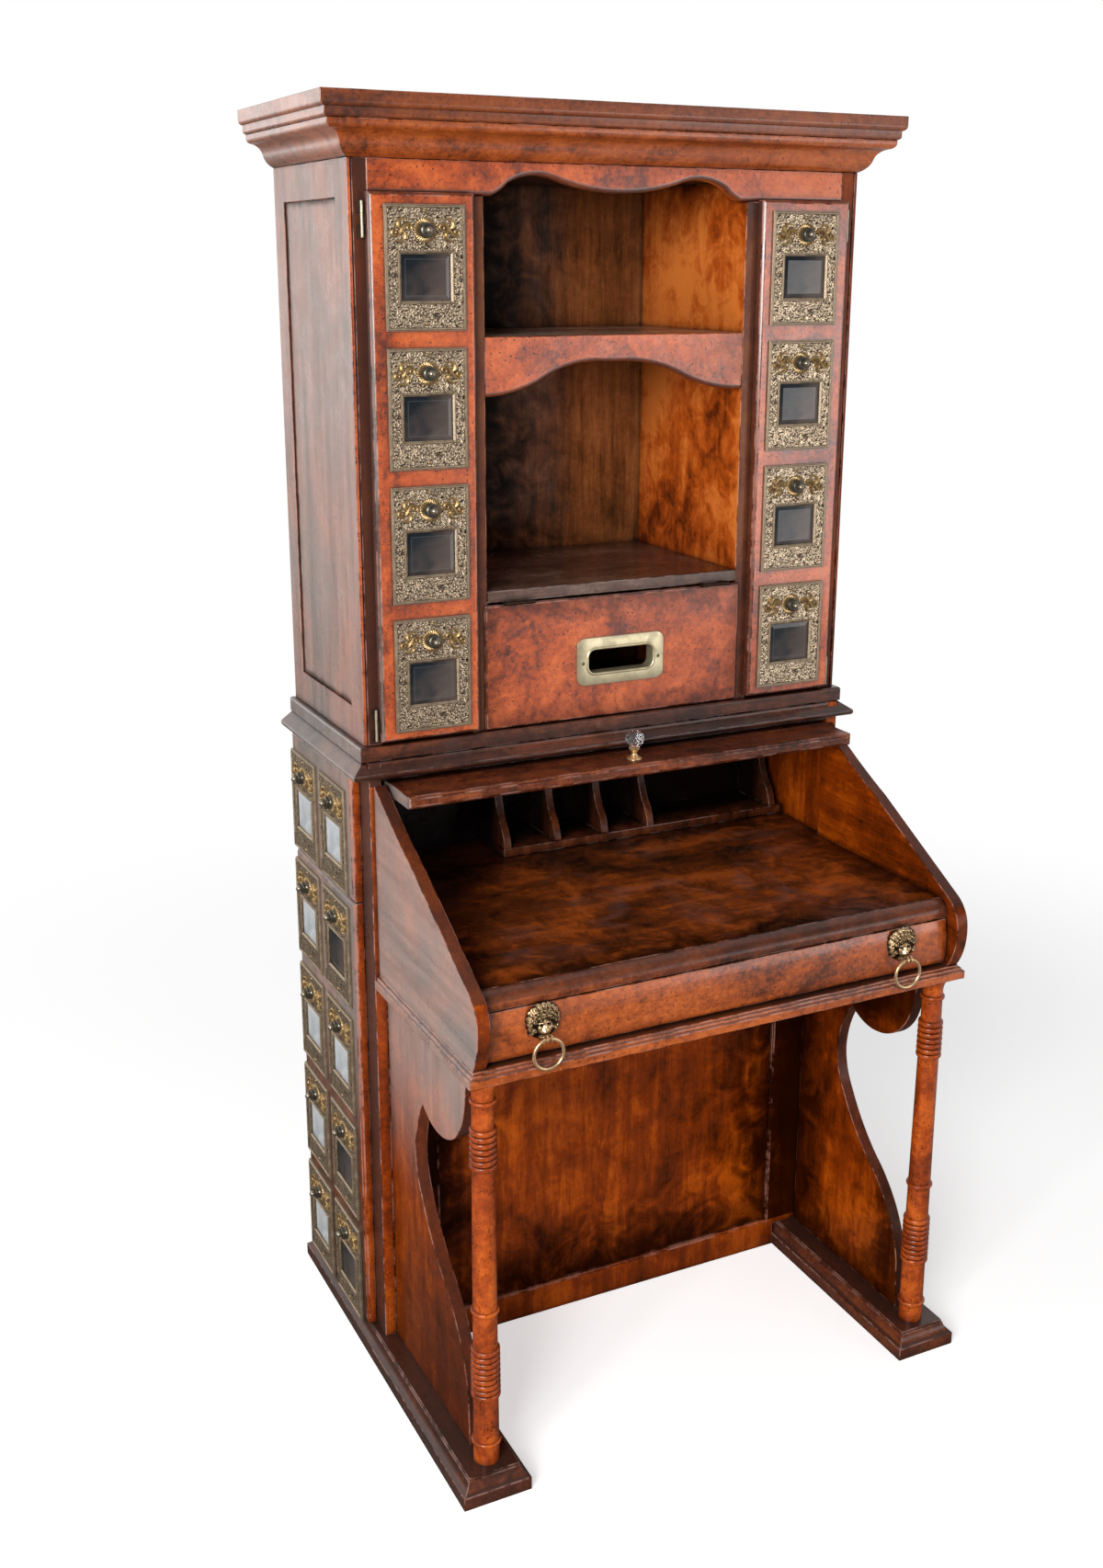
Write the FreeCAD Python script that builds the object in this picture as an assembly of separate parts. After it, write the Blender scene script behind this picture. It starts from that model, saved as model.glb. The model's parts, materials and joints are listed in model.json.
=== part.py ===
import FreeCAD, Part
import math
import os

# Clerk's desk in three stages: a knee-hole base on two feet, a sloping writing box with a
# sliding lid, and a tall letter cabinet with a cornice. Lengths are millimetres. X runs to the
# right, Z up from the floor, and "reach" is the distance forward from the plane of the back.

# Overall
overall_height = 1950.0
overall_depth = 726.0
back_y = overall_depth / 2
overrun = 5.0
same_place = 0.001
dial_sides = 8
turned_sides = 12
column_sides = 12
ring_sides = 24
wire_sides = 6
corner_flats = 4

# Clearances
door_seat_gap = 0.3
slide_gap = 0.3
panel_gap = 1.0
knuckle_gap = 0.3
pin_gap = 0.05

# Feet and columns
foot_height = 42.0
foot_width = 108.0
foot_centre_inset = 31.0
foot_inset = 13.7
foot_profile_shares = (
    ((0.0, 0.0), (0.0, 0.5)),
    ((0.0, 0.5), (0.2, 0.54)),
    ((0.2, 0.54), (0.64, 0.69), (0.9, 0.91)),
    ((0.9, 0.91), (1.0, 0.91)),
    ((1.0, 0.91), (1.0, 1.0)),
)
column_setback = 45.0
column_foot_radius = 19.3
column_top_radius = 15.8
column_head_radius = 20.5
column_head_height = 22.0
ring_height = 7.0
ring_swell = 3.2
reed_swell = 3.4
column_bead_shares = (
    (0.054, 1), (0.242, 9), (0.406, 1), (0.825, 7), (0.942, 1),
)
reed_pitch = 9.2

# Lower case
case_half_width = 419.0
case_reach = 347.0
wall = 19.0
back_thickness = 8.0
case_floor_thickness = 18.0
front_frame_thickness = 16.0
base_rail_height = 53.0
knee_stile_width = 82.0
knee_top_rail_height = 133.0
knee_panel_thickness = 7.0
knee_panel_recess = 6.0
knee_bead = 3.0
shelf_thickness = 16.0
cabinet_shelf_shares = (0.35, 0.68)
side_opening_margin = 30.0
side_back_stile = 46.0
side_front_stile = 52.0
side_panel_recess = 3.0
side_panel_thickness = 10.0
side_rail = 51.0

# Base board, gables, writing surface and drawer
base_board_overhang = 1.0
base_board_setback = 11.6
base_board_bottom = 662.0
base_board_thickness = 21.6
base_board_inset = 8.0
base_board_profile_shares = (
    ((0.0, 0.0), (0.0, 0.6)),
    ((0.0, 0.6), (0.5, 0.67)),
    ((0.5, 0.67), (0.5, 0.82)),
    ((0.5, 0.82), (1.0, 0.89)),
    ((1.0, 0.89), (1.0, 1.0)),
)
gable_inset = 27.0
gable_thickness = 20.0
gable_setback = 3.5
gable_height = 307.0
gable_edge_shares = (
    ((0.0, 0.988), (0.2, 0.843), (0.415, 0.711)),
    ((0.415, 0.711), (0.929, 0.363)),
    ((0.929, 0.363), (0.978, 0.305), (1.0, 0.216)),
    ((1.0, 0.216), (0.991, 0.105), (0.951, 0.0)),
)
surface_top = 789.0
surface_thickness = 16.0
surface_setback = 49.0
rail_depth = 17.4
rail_height = 27.4
rail_face_shares = ((0.0, 1.0), (0.62, 0.78), (1.0, 0.3))
drawer_bottom = 687.6
drawer_top = 760.0
drawer_setback = 26.0
drawer_front_thickness = 22.0
drawer_face_shares = (
    ((0.0, 0.82), (0.12, 0.94), (0.27, 1.0)),
    ((0.27, 1.0), (0.586, 1.0)),
    ((0.586, 1.0), (0.8, 0.92), (1.0, 0.75)),
)
drawer_side_thickness = 12.0
drawer_side_height = 60.0
drawer_back_height = 52.0
drawer_back_gap = 5.0
drawer_bottom_rise = 5.0
drawer_bottom_thickness = 6.0
drawer_side_gap = 1.0
runner_width = 20.0
bracket_thickness = 20.0
bracket_setback = 71.0
bracket_edge_shares = (
    ((1.0, 1.0), (0.981, 0.93), (0.95, 0.867)),
    ((0.95, 0.867), (0.845, 0.79), (0.698, 0.757)),
    ((0.698, 0.757), (0.571, 0.757), (0.451, 0.784)),
    ((0.451, 0.784), (0.378, 0.718), (0.342, 0.634)),
    ((0.342, 0.634), (0.358, 0.578), (0.416, 0.519)),
    ((0.416, 0.519), (0.53, 0.439), (0.662, 0.373)),
    ((0.662, 0.373), (0.85, 0.279), (0.967, 0.14)),
    ((0.967, 0.14), (0.982, 0.0)),
)

# Pigeonholes in the writing box
well_back_reach = 118.0
well_back_thickness = 16.0
well_back_top = 950.0
pigeonhole_reach = 222.0
pigeonhole_top_reach = 180.0
pigeonhole_left = -143.0
pigeonhole_base_thickness = 15.0
divider_thickness = 13.0
divider_places = (-143.0, -51.0, 38.0, 126.0)
end_panel_inset = 26.0
divider_edge_shares = (
    ((1.0, 0.11), (0.87, 0.22), (0.48, 0.36)),
    ((0.48, 0.36), (0.13, 0.58), (0.0, 1.0)),
)

# Sliding lid and its knob
lid_end_gap = 10.3
lid_overhang = 85.7
lid_length = 404.0
lid_bottom = 971.0
lid_thickness = 19.4
lid_edge = 4.0
lid_runner_width = 26.0
lid_runner_height = 12.0
lid_runner_start = 20.0
knob_setback = 33.7
knob_base_radius = 13.0
knob_base_shares = (
    (1.0, 0.0), (1.0, 0.12), (0.42, 0.26), (0.38, 0.6), (0.7, 0.78), (0.7, 1.0),
)
knob_base_height = 17.6
knob_ball_radius = 15.0
knob_ball_height = 28.0
knob_ball_shares = (
    (0.5, 0.0), (0.87, 0.2), (1.0, 0.42), (0.97, 0.6), (0.76, 0.83), (0.42, 0.97), (0.3, 1.0),
)

# Waist
waist_overhang = 10.0
waist_setback = 5.0
waist_bottom = 1022.0
waist_thickness = 23.0
waist_round = 4.0
waist_edge_shares = (
    ((0.0, 0.0), (0.0, 0.82)),
    ((0.0, 0.82), (0.3, 0.95), (1.0, 1.0)),
)
waist_moulding_projection = 27.0
waist_moulding_height = 28.4
waist_profile_shares = (
    ((0.793, 0.0), (0.02, 0.535)),
    ((0.02, 0.535), (0.0, 0.68), (0.08, 0.817)),
    ((0.08, 0.817), (0.74, 1.0)),
)
waist_header_thickness = 16.0

# Letter cabinet
cabinet_setback = 16.0
stile_cover = 9.0
stile_thickness = 20.0
stile_groove_inset = 7.0
stile_groove = 2.0
cabinet_top_thickness = 16.0
partition_share = 0.5203
partition_thickness = 26.0
top_rail_thickness = 16.0
top_rail_height = 46.5
top_rail_edge_shares = (
    ((-1.0, 0.0), (-0.93, 0.24), (-0.87, 0.6)),
    ((-0.87, 0.6), (-0.71, 0.98), (-0.48, 0.75)),
    ((-0.48, 0.75), (0.0, 0.26), (0.48, 0.75)),
    ((0.48, 0.75), (0.71, 0.98), (0.87, 0.6)),
    ((0.87, 0.6), (0.93, 0.24), (1.0, 0.0)),
)
top_rail_arch_half_width = 206.0
top_rail_arch_height = 29.0
upper_shelf_share = 0.7101
lower_shelf_share = 0.2608
open_shelf_thickness = 18.0
apron_thickness = 16.0
apron_height = 85.5
apron_arch_height = 46.5
apron_edge_shares = (
    ((-1.0, 0.0), (-0.79, 0.12), (-0.6, 0.43)),
    ((-0.6, 0.43), (-0.4, 0.86), (-0.1, 1.0)),
    ((-0.1, 1.0), (0.04, 1.0)),
    ((0.04, 1.0), (0.33, 0.83), (0.52, 0.48)),
    ((0.52, 0.48), (0.74, 0.13), (1.0, 0.0)),
)
compartment_shelf_thickness = 14.0

# Cornice
cornice_height = 80.5
cornice_front_lap = 2.6
cornice_projection = 51.4
cornice_slab_profile_shares = (
    ((0.0, 0.0), (0.0, 0.18)),
    ((0.0, 0.18), (0.04, 0.242), (0.12, 0.267)),
    ((0.12, 0.267), (0.12, 0.373)),
    ((0.12, 0.373), (0.146, 0.404), (0.202, 0.422)),
)
cornice_moulding_profile_shares = (
    ((0.202, 0.422), (0.208, 0.491)),
    ((0.208, 0.491), (0.243, 0.547), (0.34, 0.584)),
    ((0.34, 0.584), (0.576, 0.653), (0.702, 0.795)),
    ((0.702, 0.795), (0.794, 0.901), (1.0, 1.0)),
)

# Cabinet doors and side boards
door_lap = 6.0
door_edge_inset = 23.0
door_foot_gap = 5.5
door_head_height = 44.0
door_thickness = 16.7
door_bevel = 4.0
side_board_thickness = 16.0
side_board_back = 20.0
side_board_front = 306.0
side_door_bottom = 43.0
side_door_top = 788.0
side_panel_bottom = 790.0
side_panel_top = 993.3

# Letter box plates
plate_width = 120.0
plate_pitch_share = 0.2481
plate_height_share = 0.879
door_rows = 4
side_door_rows = 4
plate_ground = 3.0
plate_rim_width = 4.5
plate_rim_height = 5.0
plate_top_margin = 15.5
plate_off_centre = 2.5
side_plate_pitch = 189.7
side_plate_height_share = 0.8909
side_plate_top = 964.0
side_plate_first = 84.0
side_plate_step = 140.5
window_width = 74.0
window_height_share = 0.367
window_rise_share = 0.2426
window_rim_width = 4.3
window_rim_height = 5.3
pane_thickness = 2.4
pane_bevel = 1.2
dial_rise_share = 0.7959
dial_radius = 9.5
rosette_radius = 16.5
rosette_height = 1.2
dial_profile_shares = (
    (0.62, 0.0), (0.62, 0.38), (1.0, 0.45), (1.0, 0.65), (0.5, 0.75), (0.45, 1.0),
)
dial_height = 15.0

# Mail flap and letter plate
flap_lap = 6.0
flap_foot_gap = 1.0
flap_head_gap = 20.5
flap_lip = 5.0
flap_body_thickness = 12.0
flap_body_margin = 3.0
flap_bevel = 2.5
letter_plate_x = 7.0
letter_plate_rise_share = 0.4676
letter_plate_width = 153.5
letter_plate_height = 76.0
letter_plate_thickness = 2.0
letter_plate_corner = 14.0
letter_rim_width = 4.0
letter_rim_height = 4.5
slot_width = 113.0
slot_height = 36.0
slot_corner = 11.0
slot_lining = 1.5

# Hinges
hinge_length = 48.0
hinge_radius = 4.0
hinge_pin_radius = 1.6
hinge_offset = 4.5
hinge_leaf_width = 6.5
hinge_leaf_thickness = 1.2
hinge_margin = 12.0
side_hinge_shares = (0.1, 0.9)
flap_hinge_length = 50.0
flap_hinge_radius = 2.8
flap_hinge_pin_radius = 1.2
flap_hinge_places = (-168.0, 177.0)
flap_leaf_width = 14.0
flap_leaf_thickness = 0.9

# Lion mask ring pulls
mask_share = 0.7255
mask_z = 738.0
mask_radius = 28.0
mask_height = 10.0
snout_radius = 11.0
snout_height = 8.0
snout_sink = 2.5
mask_dome_shares = ((1.0, 0.0), (0.96, 0.35), (0.8, 0.72), (0.5, 0.95), (0.2, 1.0))
snout_shares = ((1.0, 0.0), (0.9, 0.5), (0.5, 0.92), (0.1, 1.0))
ring_axis_z = 717.5
ring_standoff = 19.0
ring_radius = 23.0
ring_wire_radius = 2.5
ring_eye_radius = 5.5
ring_eye_bore = 3.2
ring_eye_width = 8.0

# Places worked out from the sizes above
case_inner_x = case_half_width - wall
cabinet_half_width = case_half_width
cabinet_inner_x = cabinet_half_width - wall
foot_centre = case_half_width - foot_centre_inset
bracket_outer_x = case_inner_x
bracket_reach = overall_depth - bracket_setback - case_reach
base_board_half_width = case_half_width + base_board_overhang
gable_inner_x = case_half_width - gable_inset
end_panel_place = case_inner_x - end_panel_inset
lid_half_width = case_inner_x - lid_end_gap
lid_reach = case_reach + lid_overhang
knob_reach = lid_reach - knob_setback
waist_half_width = case_half_width + waist_overhang
waist_reach = case_reach - waist_setback
cabinet_reach = case_reach - cabinet_setback
stile_inner_x = cabinet_inner_x - stile_cover
stile_groove_x = cabinet_half_width - stile_groove_inset
partition_inner_x = partition_share * cabinet_half_width
cornice_half_width = cabinet_half_width + cornice_projection
cornice_reach = cabinet_reach + cornice_projection + cornice_front_lap
door_inner_x = partition_inner_x + partition_thickness - door_lap
door_outer_x = cabinet_half_width - door_edge_inset
plate_centre_x = (door_inner_x + door_outer_x) / 2 - plate_off_centre
flap_half_width = partition_inner_x + flap_lap
flap_body_half_width = partition_inner_x - panel_gap
mask_x = mask_share * case_half_width
column_reach = overall_depth - column_setback
base_board_reach = overall_depth - base_board_setback
gable_length = overall_depth - gable_setback - case_reach
surface_reach = overall_depth - surface_setback
drawer_reach = overall_depth - drawer_setback
ring_reach = drawer_reach + ring_standoff
gable_bottom = base_board_bottom + base_board_thickness
surface_bottom = surface_top - surface_thickness
pigeonhole_floor = surface_top + pigeonhole_base_thickness
drawer_height = drawer_top - drawer_bottom
knee_opening_half_width = case_inner_x - knee_stile_width
knee_opening_top = surface_bottom - knee_top_rail_height
lid_top = lid_bottom + lid_thickness
waist_top = waist_bottom + waist_thickness
cabinet_top = overall_height - cornice_height
cabinet_height = cabinet_top - waist_top
top_rail_bottom = cabinet_top - top_rail_height
upper_shelf_top = waist_top + upper_shelf_share * cabinet_height
lower_shelf_top = waist_top + lower_shelf_share * cabinet_height
door_bottom = waist_top + door_foot_gap
door_top = cabinet_top - door_head_height
plate_pitch = plate_pitch_share * (door_top - door_bottom)
plate_height = plate_height_share * plate_pitch
side_plate_height = side_plate_height_share * side_plate_pitch
side_hinge_reach = side_board_back - hinge_offset
flap_bottom = waist_top + flap_foot_gap
flap_top = lower_shelf_top - flap_head_gap
flap_hinge_z = (flap_top + lower_shelf_top - open_shelf_thickness) / 2
flap_hinge_reach = cabinet_reach + flap_lip + flap_hinge_radius + panel_gap / 2
letter_plate_z = flap_bottom + letter_plate_rise_share * (flap_top - flap_bottom)


def point(x, reach, z):
    """A point given by its distance forward of the back."""
    return FreeCAD.Vector(x, back_y - reach, z)


def board(x0, x1, reach0, reach1, z0, z1):
    """A squared board between two opposite corners."""
    solid = Part.makeBox(x1 - x0, reach1 - reach0, z1 - z0)
    solid.translate(point(x0, reach1, z0))
    return solid


def mirrored(shape):
    """The same piece on the other hand."""
    return shape.mirror(FreeCAD.Vector(0, 0, 0), FreeCAD.Vector(1, 0, 0))


def both_hands(shape):
    """The piece and its mirror image as two loose solids."""
    return Part.makeCompound([shape, mirrored(shape)])


def loose(solids):
    """Separate solids kept in one node."""
    return Part.makeCompound(solids)


def edge_of(points):
    """Two points make a line and three an arc."""
    if len(points) == 2:
        return Part.LineSegment(points[0], points[1]).toShape()
    return Part.Arc(points[0], points[1], points[2]).toShape()


def closed_face(stretches):
    """A face inside stretches that follow each other, closed by one straight line."""
    edges = [edge_of(stretch) for stretch in stretches]
    start = stretches[0][0]
    end = stretches[-1][-1]
    if start.distanceToPoint(end) > same_place:
        edges.append(edge_of((end, start)))
    return Part.Face(Part.Wire(edges))


def side_cut(stretches, x0, x1):
    """A board between two side planes, cut to stretches of (reach, height) points."""
    placed = [[point(x0, reach, z) for reach, z in stretch] for stretch in stretches]
    return closed_face(placed).extrude(FreeCAD.Vector(x1 - x0, 0, 0))


def front_cut(stretches, reach0, reach1):
    """A board between two reaches, cut to stretches of (x, height) points."""
    placed = [[point(x, reach0, z) for x, z in stretch] for stretch in stretches]
    return closed_face(placed).extrude(FreeCAD.Vector(0, reach0 - reach1, 0))


def ring_of_lines(corners):
    """Straight stretches round a list of corners."""
    return [corners[i:i + 2] for i in range(len(corners) - 1)]


def scaled(shares, start_u, size_u, start_z, size_z):
    """Points placed from their shares of a width and a height."""
    return [(start_u + u * size_u, start_z + z * size_z) for u, z in shares]


def moulded_slab(half_width, reach, bottom, height, inset, profile_shares):
    """A slab whose front and ends carry one edge profile, mitred at the front corners.

    The profile runs from one face to the other in shares of its inset and the slab's height,
    measured from the bottom up, or from the top down where the height is negative.
    """
    across = []
    along = []
    for stretch in profile_shares:
        across.append([(half_width - u * inset, bottom + z * height) for u, z in stretch])
        along.append([(reach - u * inset, bottom + z * height) for u, z in stretch])
    far_side = [[(-x, z) for x, z in reversed(stretch)] for stretch in reversed(across)]
    bridge = [[across[-1][-1], far_side[0][0]]]
    lengthwise = front_cut(across + bridge + far_side, -overrun, reach + overrun)
    back_end = (0, along[-1][-1][1])
    back = [[along[-1][-1], back_end], [back_end, (0, along[0][0][1])]]
    crosswise = side_cut(along + back, -half_width - overrun, half_width + overrun)
    return lengthwise.common(crosswise)


def strip_faces(before, ahead):
    """Flat four-sided faces between two rings of corners."""
    faces = []
    for index in range(len(ahead)):
        corners = [before[index], before[index - 1], ahead[index - 1], ahead[index]]
        faces.append(Part.Face(Part.makePolygon(corners + corners[:1])))
    return faces


def turned(profile, x, reach, z, sides=turned_sides):
    """A piece turned about an upright axis from (radius, height) points, with flat facets."""
    rings = []
    for radius, height in profile:
        ring = []
        for index in range(sides):
            angle = 2 * math.pi * (index + 0.5) / sides
            ring.append(FreeCAD.Vector(radius * math.cos(angle), radius * math.sin(angle), height))
        rings.append(ring)
    faces = [Part.Face(Part.makePolygon(ring + ring[:1])) for ring in (rings[0], rings[-1])]
    for before, ahead in zip(rings, rings[1:]):
        faces += strip_faces(ahead, before)
    solid = Part.makeSolid(Part.makeShell(faces))
    solid.translate(point(x, reach, z))
    return solid


def turned_forward(profile, x, reach, z, sides=turned_sides):
    """A piece turned about an axis that points forward, from (radius, height) points."""
    solid = turned(profile, 0, back_y, 0, sides)
    solid.rotate(FreeCAD.Vector(0, 0, 0), FreeCAD.Vector(1, 0, 0), 90)
    solid.translate(point(x, reach, z))
    return solid


def pin_across(x0, x1, reach, z, radius):
    """A faceted pin that lies from side to side."""
    pin = turned([(radius, 0), (radius, x1 - x0)], 0, back_y, 0)
    pin.rotate(FreeCAD.Vector(0, 0, 0), FreeCAD.Vector(0, 1, 0), 90)
    pin.translate(point(x0, reach, z))
    return pin


def round_about(radius):
    """Corner radius of a faceted bore whose flats stand clear of a round pin."""
    return radius / math.cos(math.pi / turned_sides)


def bevel_edges(solid, size, on_bevel):
    """Take the corner off the edges that the test picks."""
    edges = [edge for edge in solid.Edges if all(on_bevel(v.Point) for v in edge.Vertexes)]
    return solid.makeChamfer(size, edges)


def bevel_front(solid, size):
    """Bevel all edges of the front face."""
    front = solid.BoundBox.YMin
    return bevel_edges(solid, size, lambda place: abs(place.y - front) < same_place)


def bevel_outside(solid, size):
    """Bevel all edges of the right-hand face."""
    outside = solid.BoundBox.XMax
    return bevel_edges(solid, size, lambda place: abs(place.x - outside) < same_place)


def rounded_block(x, z, width, height, corner, reach0, reach1):
    """An upright slab with round corners made of short flats, centred on a point."""
    spots = []
    for quarter, (side, rise) in enumerate(((1, 1), (-1, 1), (-1, -1), (1, -1))):
        for step in range(corner_flats + 1):
            angle = (quarter + step / corner_flats) * math.pi / 2
            spots.append(point(x + side * (width / 2 - corner) + corner * math.cos(angle), reach0,
                               z + rise * (height / 2 - corner) + corner * math.sin(angle)))
    face = Part.Face(Part.makePolygon(spots + spots[:1]))
    return face.extrude(FreeCAD.Vector(0, reach0 - reach1, 0))


def foot():
    """Right foot: a plank with the same moulding on all four edges."""
    outer = foot_width / 2
    profile = [[(outer - u * foot_inset, z * foot_height) for u, z in stretch]
               for stretch in foot_profile_shares]
    far_side = [[(-x, z) for x, z in reversed(stretch)] for stretch in reversed(profile)]
    across = [[(foot_centre + x, z) for x, z in stretch]
              for stretch in profile + [[profile[-1][-1], far_side[0][0]]] + far_side]
    half_length = overall_depth / 2
    front = [[(half_length + half_length - u * foot_inset, z * foot_height) for u, z in stretch]
             for stretch in foot_profile_shares]
    rear = [[(u * foot_inset, z * foot_height) for u, z in reversed(stretch)]
            for stretch in reversed(foot_profile_shares)]
    along = front + [[front[-1][-1], rear[0][0]]] + rear
    lengthwise = front_cut(across, -overrun, overall_depth + overrun)
    crosswise = side_cut(along, foot_centre - foot_width, foot_centre + foot_width)
    return lengthwise.common(crosswise)


def bamboo_column():
    """Right column: a tapered shaft with single rings and two reeded collars."""
    height = base_board_bottom - foot_height

    def shaft(level):
        return column_foot_radius - (column_foot_radius - column_top_radius) * level / height

    profile = [(shaft(0), 0)]
    for share, count in column_bead_shares:
        single = count == 1
        pitch = ring_height if single else reed_pitch
        swell = ring_swell if single else reed_swell
        start = share * height - count * pitch / 2
        profile.append((shaft(start), start))
        for index in range(count):
            crest = start + (index + 0.5) * pitch
            valley = start + (index + 1) * pitch
            profile.append((shaft(crest) + swell, crest))
            profile.append((shaft(valley), valley))
    head_start = height - column_head_height
    profile += [(shaft(head_start), head_start), (column_head_radius, height - ring_height),
                (column_head_radius, height)]
    return turned(profile, foot_centre, column_reach, foot_height, column_sides)


def bracket():
    """Right bracket panel with its lobe and long scoop."""
    height = base_board_bottom - foot_height
    outline = [scaled(stretch, case_reach, bracket_reach, foot_height, height)
               for stretch in bracket_edge_shares]
    outline += [[outline[-1][-1], (case_reach, foot_height)],
                [(case_reach, foot_height), (case_reach, base_board_bottom)]]
    return side_cut(outline, bracket_outer_x - bracket_thickness, bracket_outer_x)


def base_board():
    """Board under the drawer, moulded at its front and ends."""
    slab = moulded_slab(base_board_half_width, base_board_reach, base_board_bottom,
                        base_board_thickness, base_board_inset, base_board_profile_shares)
    behind = board(-base_board_half_width - overrun, base_board_half_width + overrun,
                   -overrun, case_reach, base_board_bottom - overrun, gable_bottom + overrun)
    return slab.cut(behind)


def gable():
    """Right cheek of the writing box, sloped above and rounded at the nose."""
    outline = [scaled(stretch, case_reach, gable_length, gable_bottom, gable_height)
               for stretch in gable_edge_shares]
    outline.append([outline[-1][-1], (case_reach, gable_bottom)])
    return side_cut(outline, gable_inner_x, gable_inner_x + gable_thickness)


def writing_surface():
    """Flat writing surface that runs back under the pigeonholes."""
    front = board(-gable_inner_x, gable_inner_x, case_reach, surface_reach,
                  surface_bottom, surface_top)
    rear = board(-case_inner_x, case_inner_x, well_back_reach, case_reach,
                 surface_bottom, surface_top)
    return front.fuse(rear).removeSplitter()


def front_rail():
    """Rounded rail along the front of the writing surface."""
    bottom = surface_top - rail_height
    face = scaled(rail_face_shares, surface_reach, rail_depth, bottom, rail_height)
    foot_point = (surface_reach + rail_depth, bottom)
    outline = [face, [face[-1], foot_point], [foot_point, (surface_reach, bottom)],
               [(surface_reach, bottom), face[0]]]
    return side_cut(outline, -gable_inner_x, gable_inner_x)


def pigeonhole_divider(place):
    """Upright divider with a swept front edge."""
    swell = pigeonhole_reach - pigeonhole_top_reach
    height = well_back_top - surface_top
    edge = [scaled(stretch, pigeonhole_top_reach, swell, surface_top, height)
            for stretch in divider_edge_shares]
    floor = pigeonhole_floor
    outline = edge + [[edge[-1][-1], (well_back_reach, well_back_top)],
                      [(well_back_reach, well_back_top), (well_back_reach, floor)],
                      [(well_back_reach, floor), (pigeonhole_reach, floor)]]
    return side_cut(outline, place, place + divider_thickness)


def pigeonholes():
    """Base board, four dividers and an end panel."""
    pieces = [board(pigeonhole_left, case_inner_x, well_back_reach, pigeonhole_reach,
                    surface_top, pigeonhole_floor)]
    for place in divider_places + (end_panel_place,):
        pieces.append(pigeonhole_divider(place))
    return loose(pieces)


def well_back():
    """Board that closes the writing box behind the pigeonholes."""
    return board(-case_inner_x, case_inner_x, well_back_reach - well_back_thickness,
                 well_back_reach, surface_bottom, well_back_top)


def lid_runners():
    """Strips below and above the lid at each end, which it slides between."""
    inner = case_inner_x - lid_runner_width
    below = board(inner, case_inner_x, lid_runner_start, case_reach,
                  lid_bottom - slide_gap - lid_runner_height, lid_bottom - slide_gap)
    above = board(inner, case_inner_x, lid_runner_start, case_reach - waist_header_thickness,
                  lid_top + slide_gap, lid_top + slide_gap + lid_runner_height)
    return loose([below, above, mirrored(below), mirrored(above)])


def drawer_runners():
    """Strips on the base board that carry the drawer."""
    outer = gable_inner_x
    strip = board(outer - runner_width, outer, case_reach, surface_reach,
                  gable_bottom, drawer_bottom - slide_gap)
    return both_hands(strip)


def framed_side(half_width, reach, bottom, top, extra=None):
    """Right side of a cabinet: a frame and the recessed panel that it holds."""
    inner = half_width - wall
    frame = board(inner, half_width, 0, reach, bottom, top)
    back = side_back_stile
    front = reach - side_front_stile
    low = bottom + side_rail
    high = top - side_rail
    frame = frame.cut(board(inner - overrun, half_width + overrun, back, front, low, high))
    if extra is not None:
        frame = frame.fuse(extra).removeSplitter()
        groove = board(stile_groove_x, stile_groove_x + stile_groove, reach - stile_groove,
                       reach + overrun, bottom - overrun, top + overrun)
        frame = frame.cut(groove)
    outside = half_width - side_panel_recess
    panel = board(outside - side_panel_thickness, outside, back, front, low, high)
    return loose([frame, panel])


def case_side_with_opening():
    """Left side of the lower case, open behind the side door."""
    side = board(-case_half_width, -case_inner_x, 0, case_reach, foot_height, waist_bottom)
    margin = side_opening_margin
    return side.cut(board(-case_half_width - overrun, -case_inner_x + overrun,
                          side_board_back + margin, side_board_front - margin,
                          side_door_bottom + margin, side_door_top - margin - surface_thickness))


def case_back():
    """Thin back of the lower case."""
    return board(-case_inner_x, case_inner_x, 0, back_thickness, foot_height, waist_bottom)


def case_floor():
    """Bottom board of the lower case."""
    return board(-case_inner_x, case_inner_x, back_thickness,
                 case_reach - front_frame_thickness, foot_height,
                 foot_height + case_floor_thickness)


def cabinet_shelves():
    """Two shelves behind the side door."""
    floor = foot_height + case_floor_thickness
    room = surface_bottom - floor
    shelves = []
    for share in cabinet_shelf_shares:
        top = floor + share * room
        shelves.append(board(-case_inner_x, case_inner_x, back_thickness,
                             case_reach - front_frame_thickness, top - shelf_thickness, top))
    return loose(shelves)


def knee_frame():
    """Frame and panel across the back of the knee hole, with its rail down to the floor."""
    half = case_inner_x
    foot_side = foot_centre - foot_width / 2
    corners = [(-half, surface_bottom), (-half, foot_height), (-foot_side, foot_height),
               (-foot_side, 0), (foot_side, 0), (foot_side, foot_height),
               (half, foot_height), (half, surface_bottom), (-half, surface_bottom)]
    back = case_reach - front_frame_thickness
    frame = front_cut(ring_of_lines(corners), back, case_reach)
    width = knee_opening_half_width
    frame = frame.cut(board(-width, width, back - overrun, case_reach + overrun,
                            base_rail_height, knee_opening_top))
    front_y = back_y - case_reach

    def on_opening(place):
        inside = abs(place.x) < width + same_place and abs(place.y - front_y) < same_place
        return inside and base_rail_height - same_place < place.z < knee_opening_top + same_place

    frame = bevel_edges(frame, knee_bead, on_opening)
    face = case_reach - knee_panel_recess
    panel = board(-width, width, face - knee_panel_thickness, face,
                  base_rail_height, knee_opening_top)
    return loose([frame, panel])


def waist_board():
    """Board between the writing box and the letter cabinet, with a rounded top edge."""
    return moulded_slab(waist_half_width, waist_reach, waist_bottom, waist_thickness,
                        waist_round, waist_edge_shares)


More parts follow.
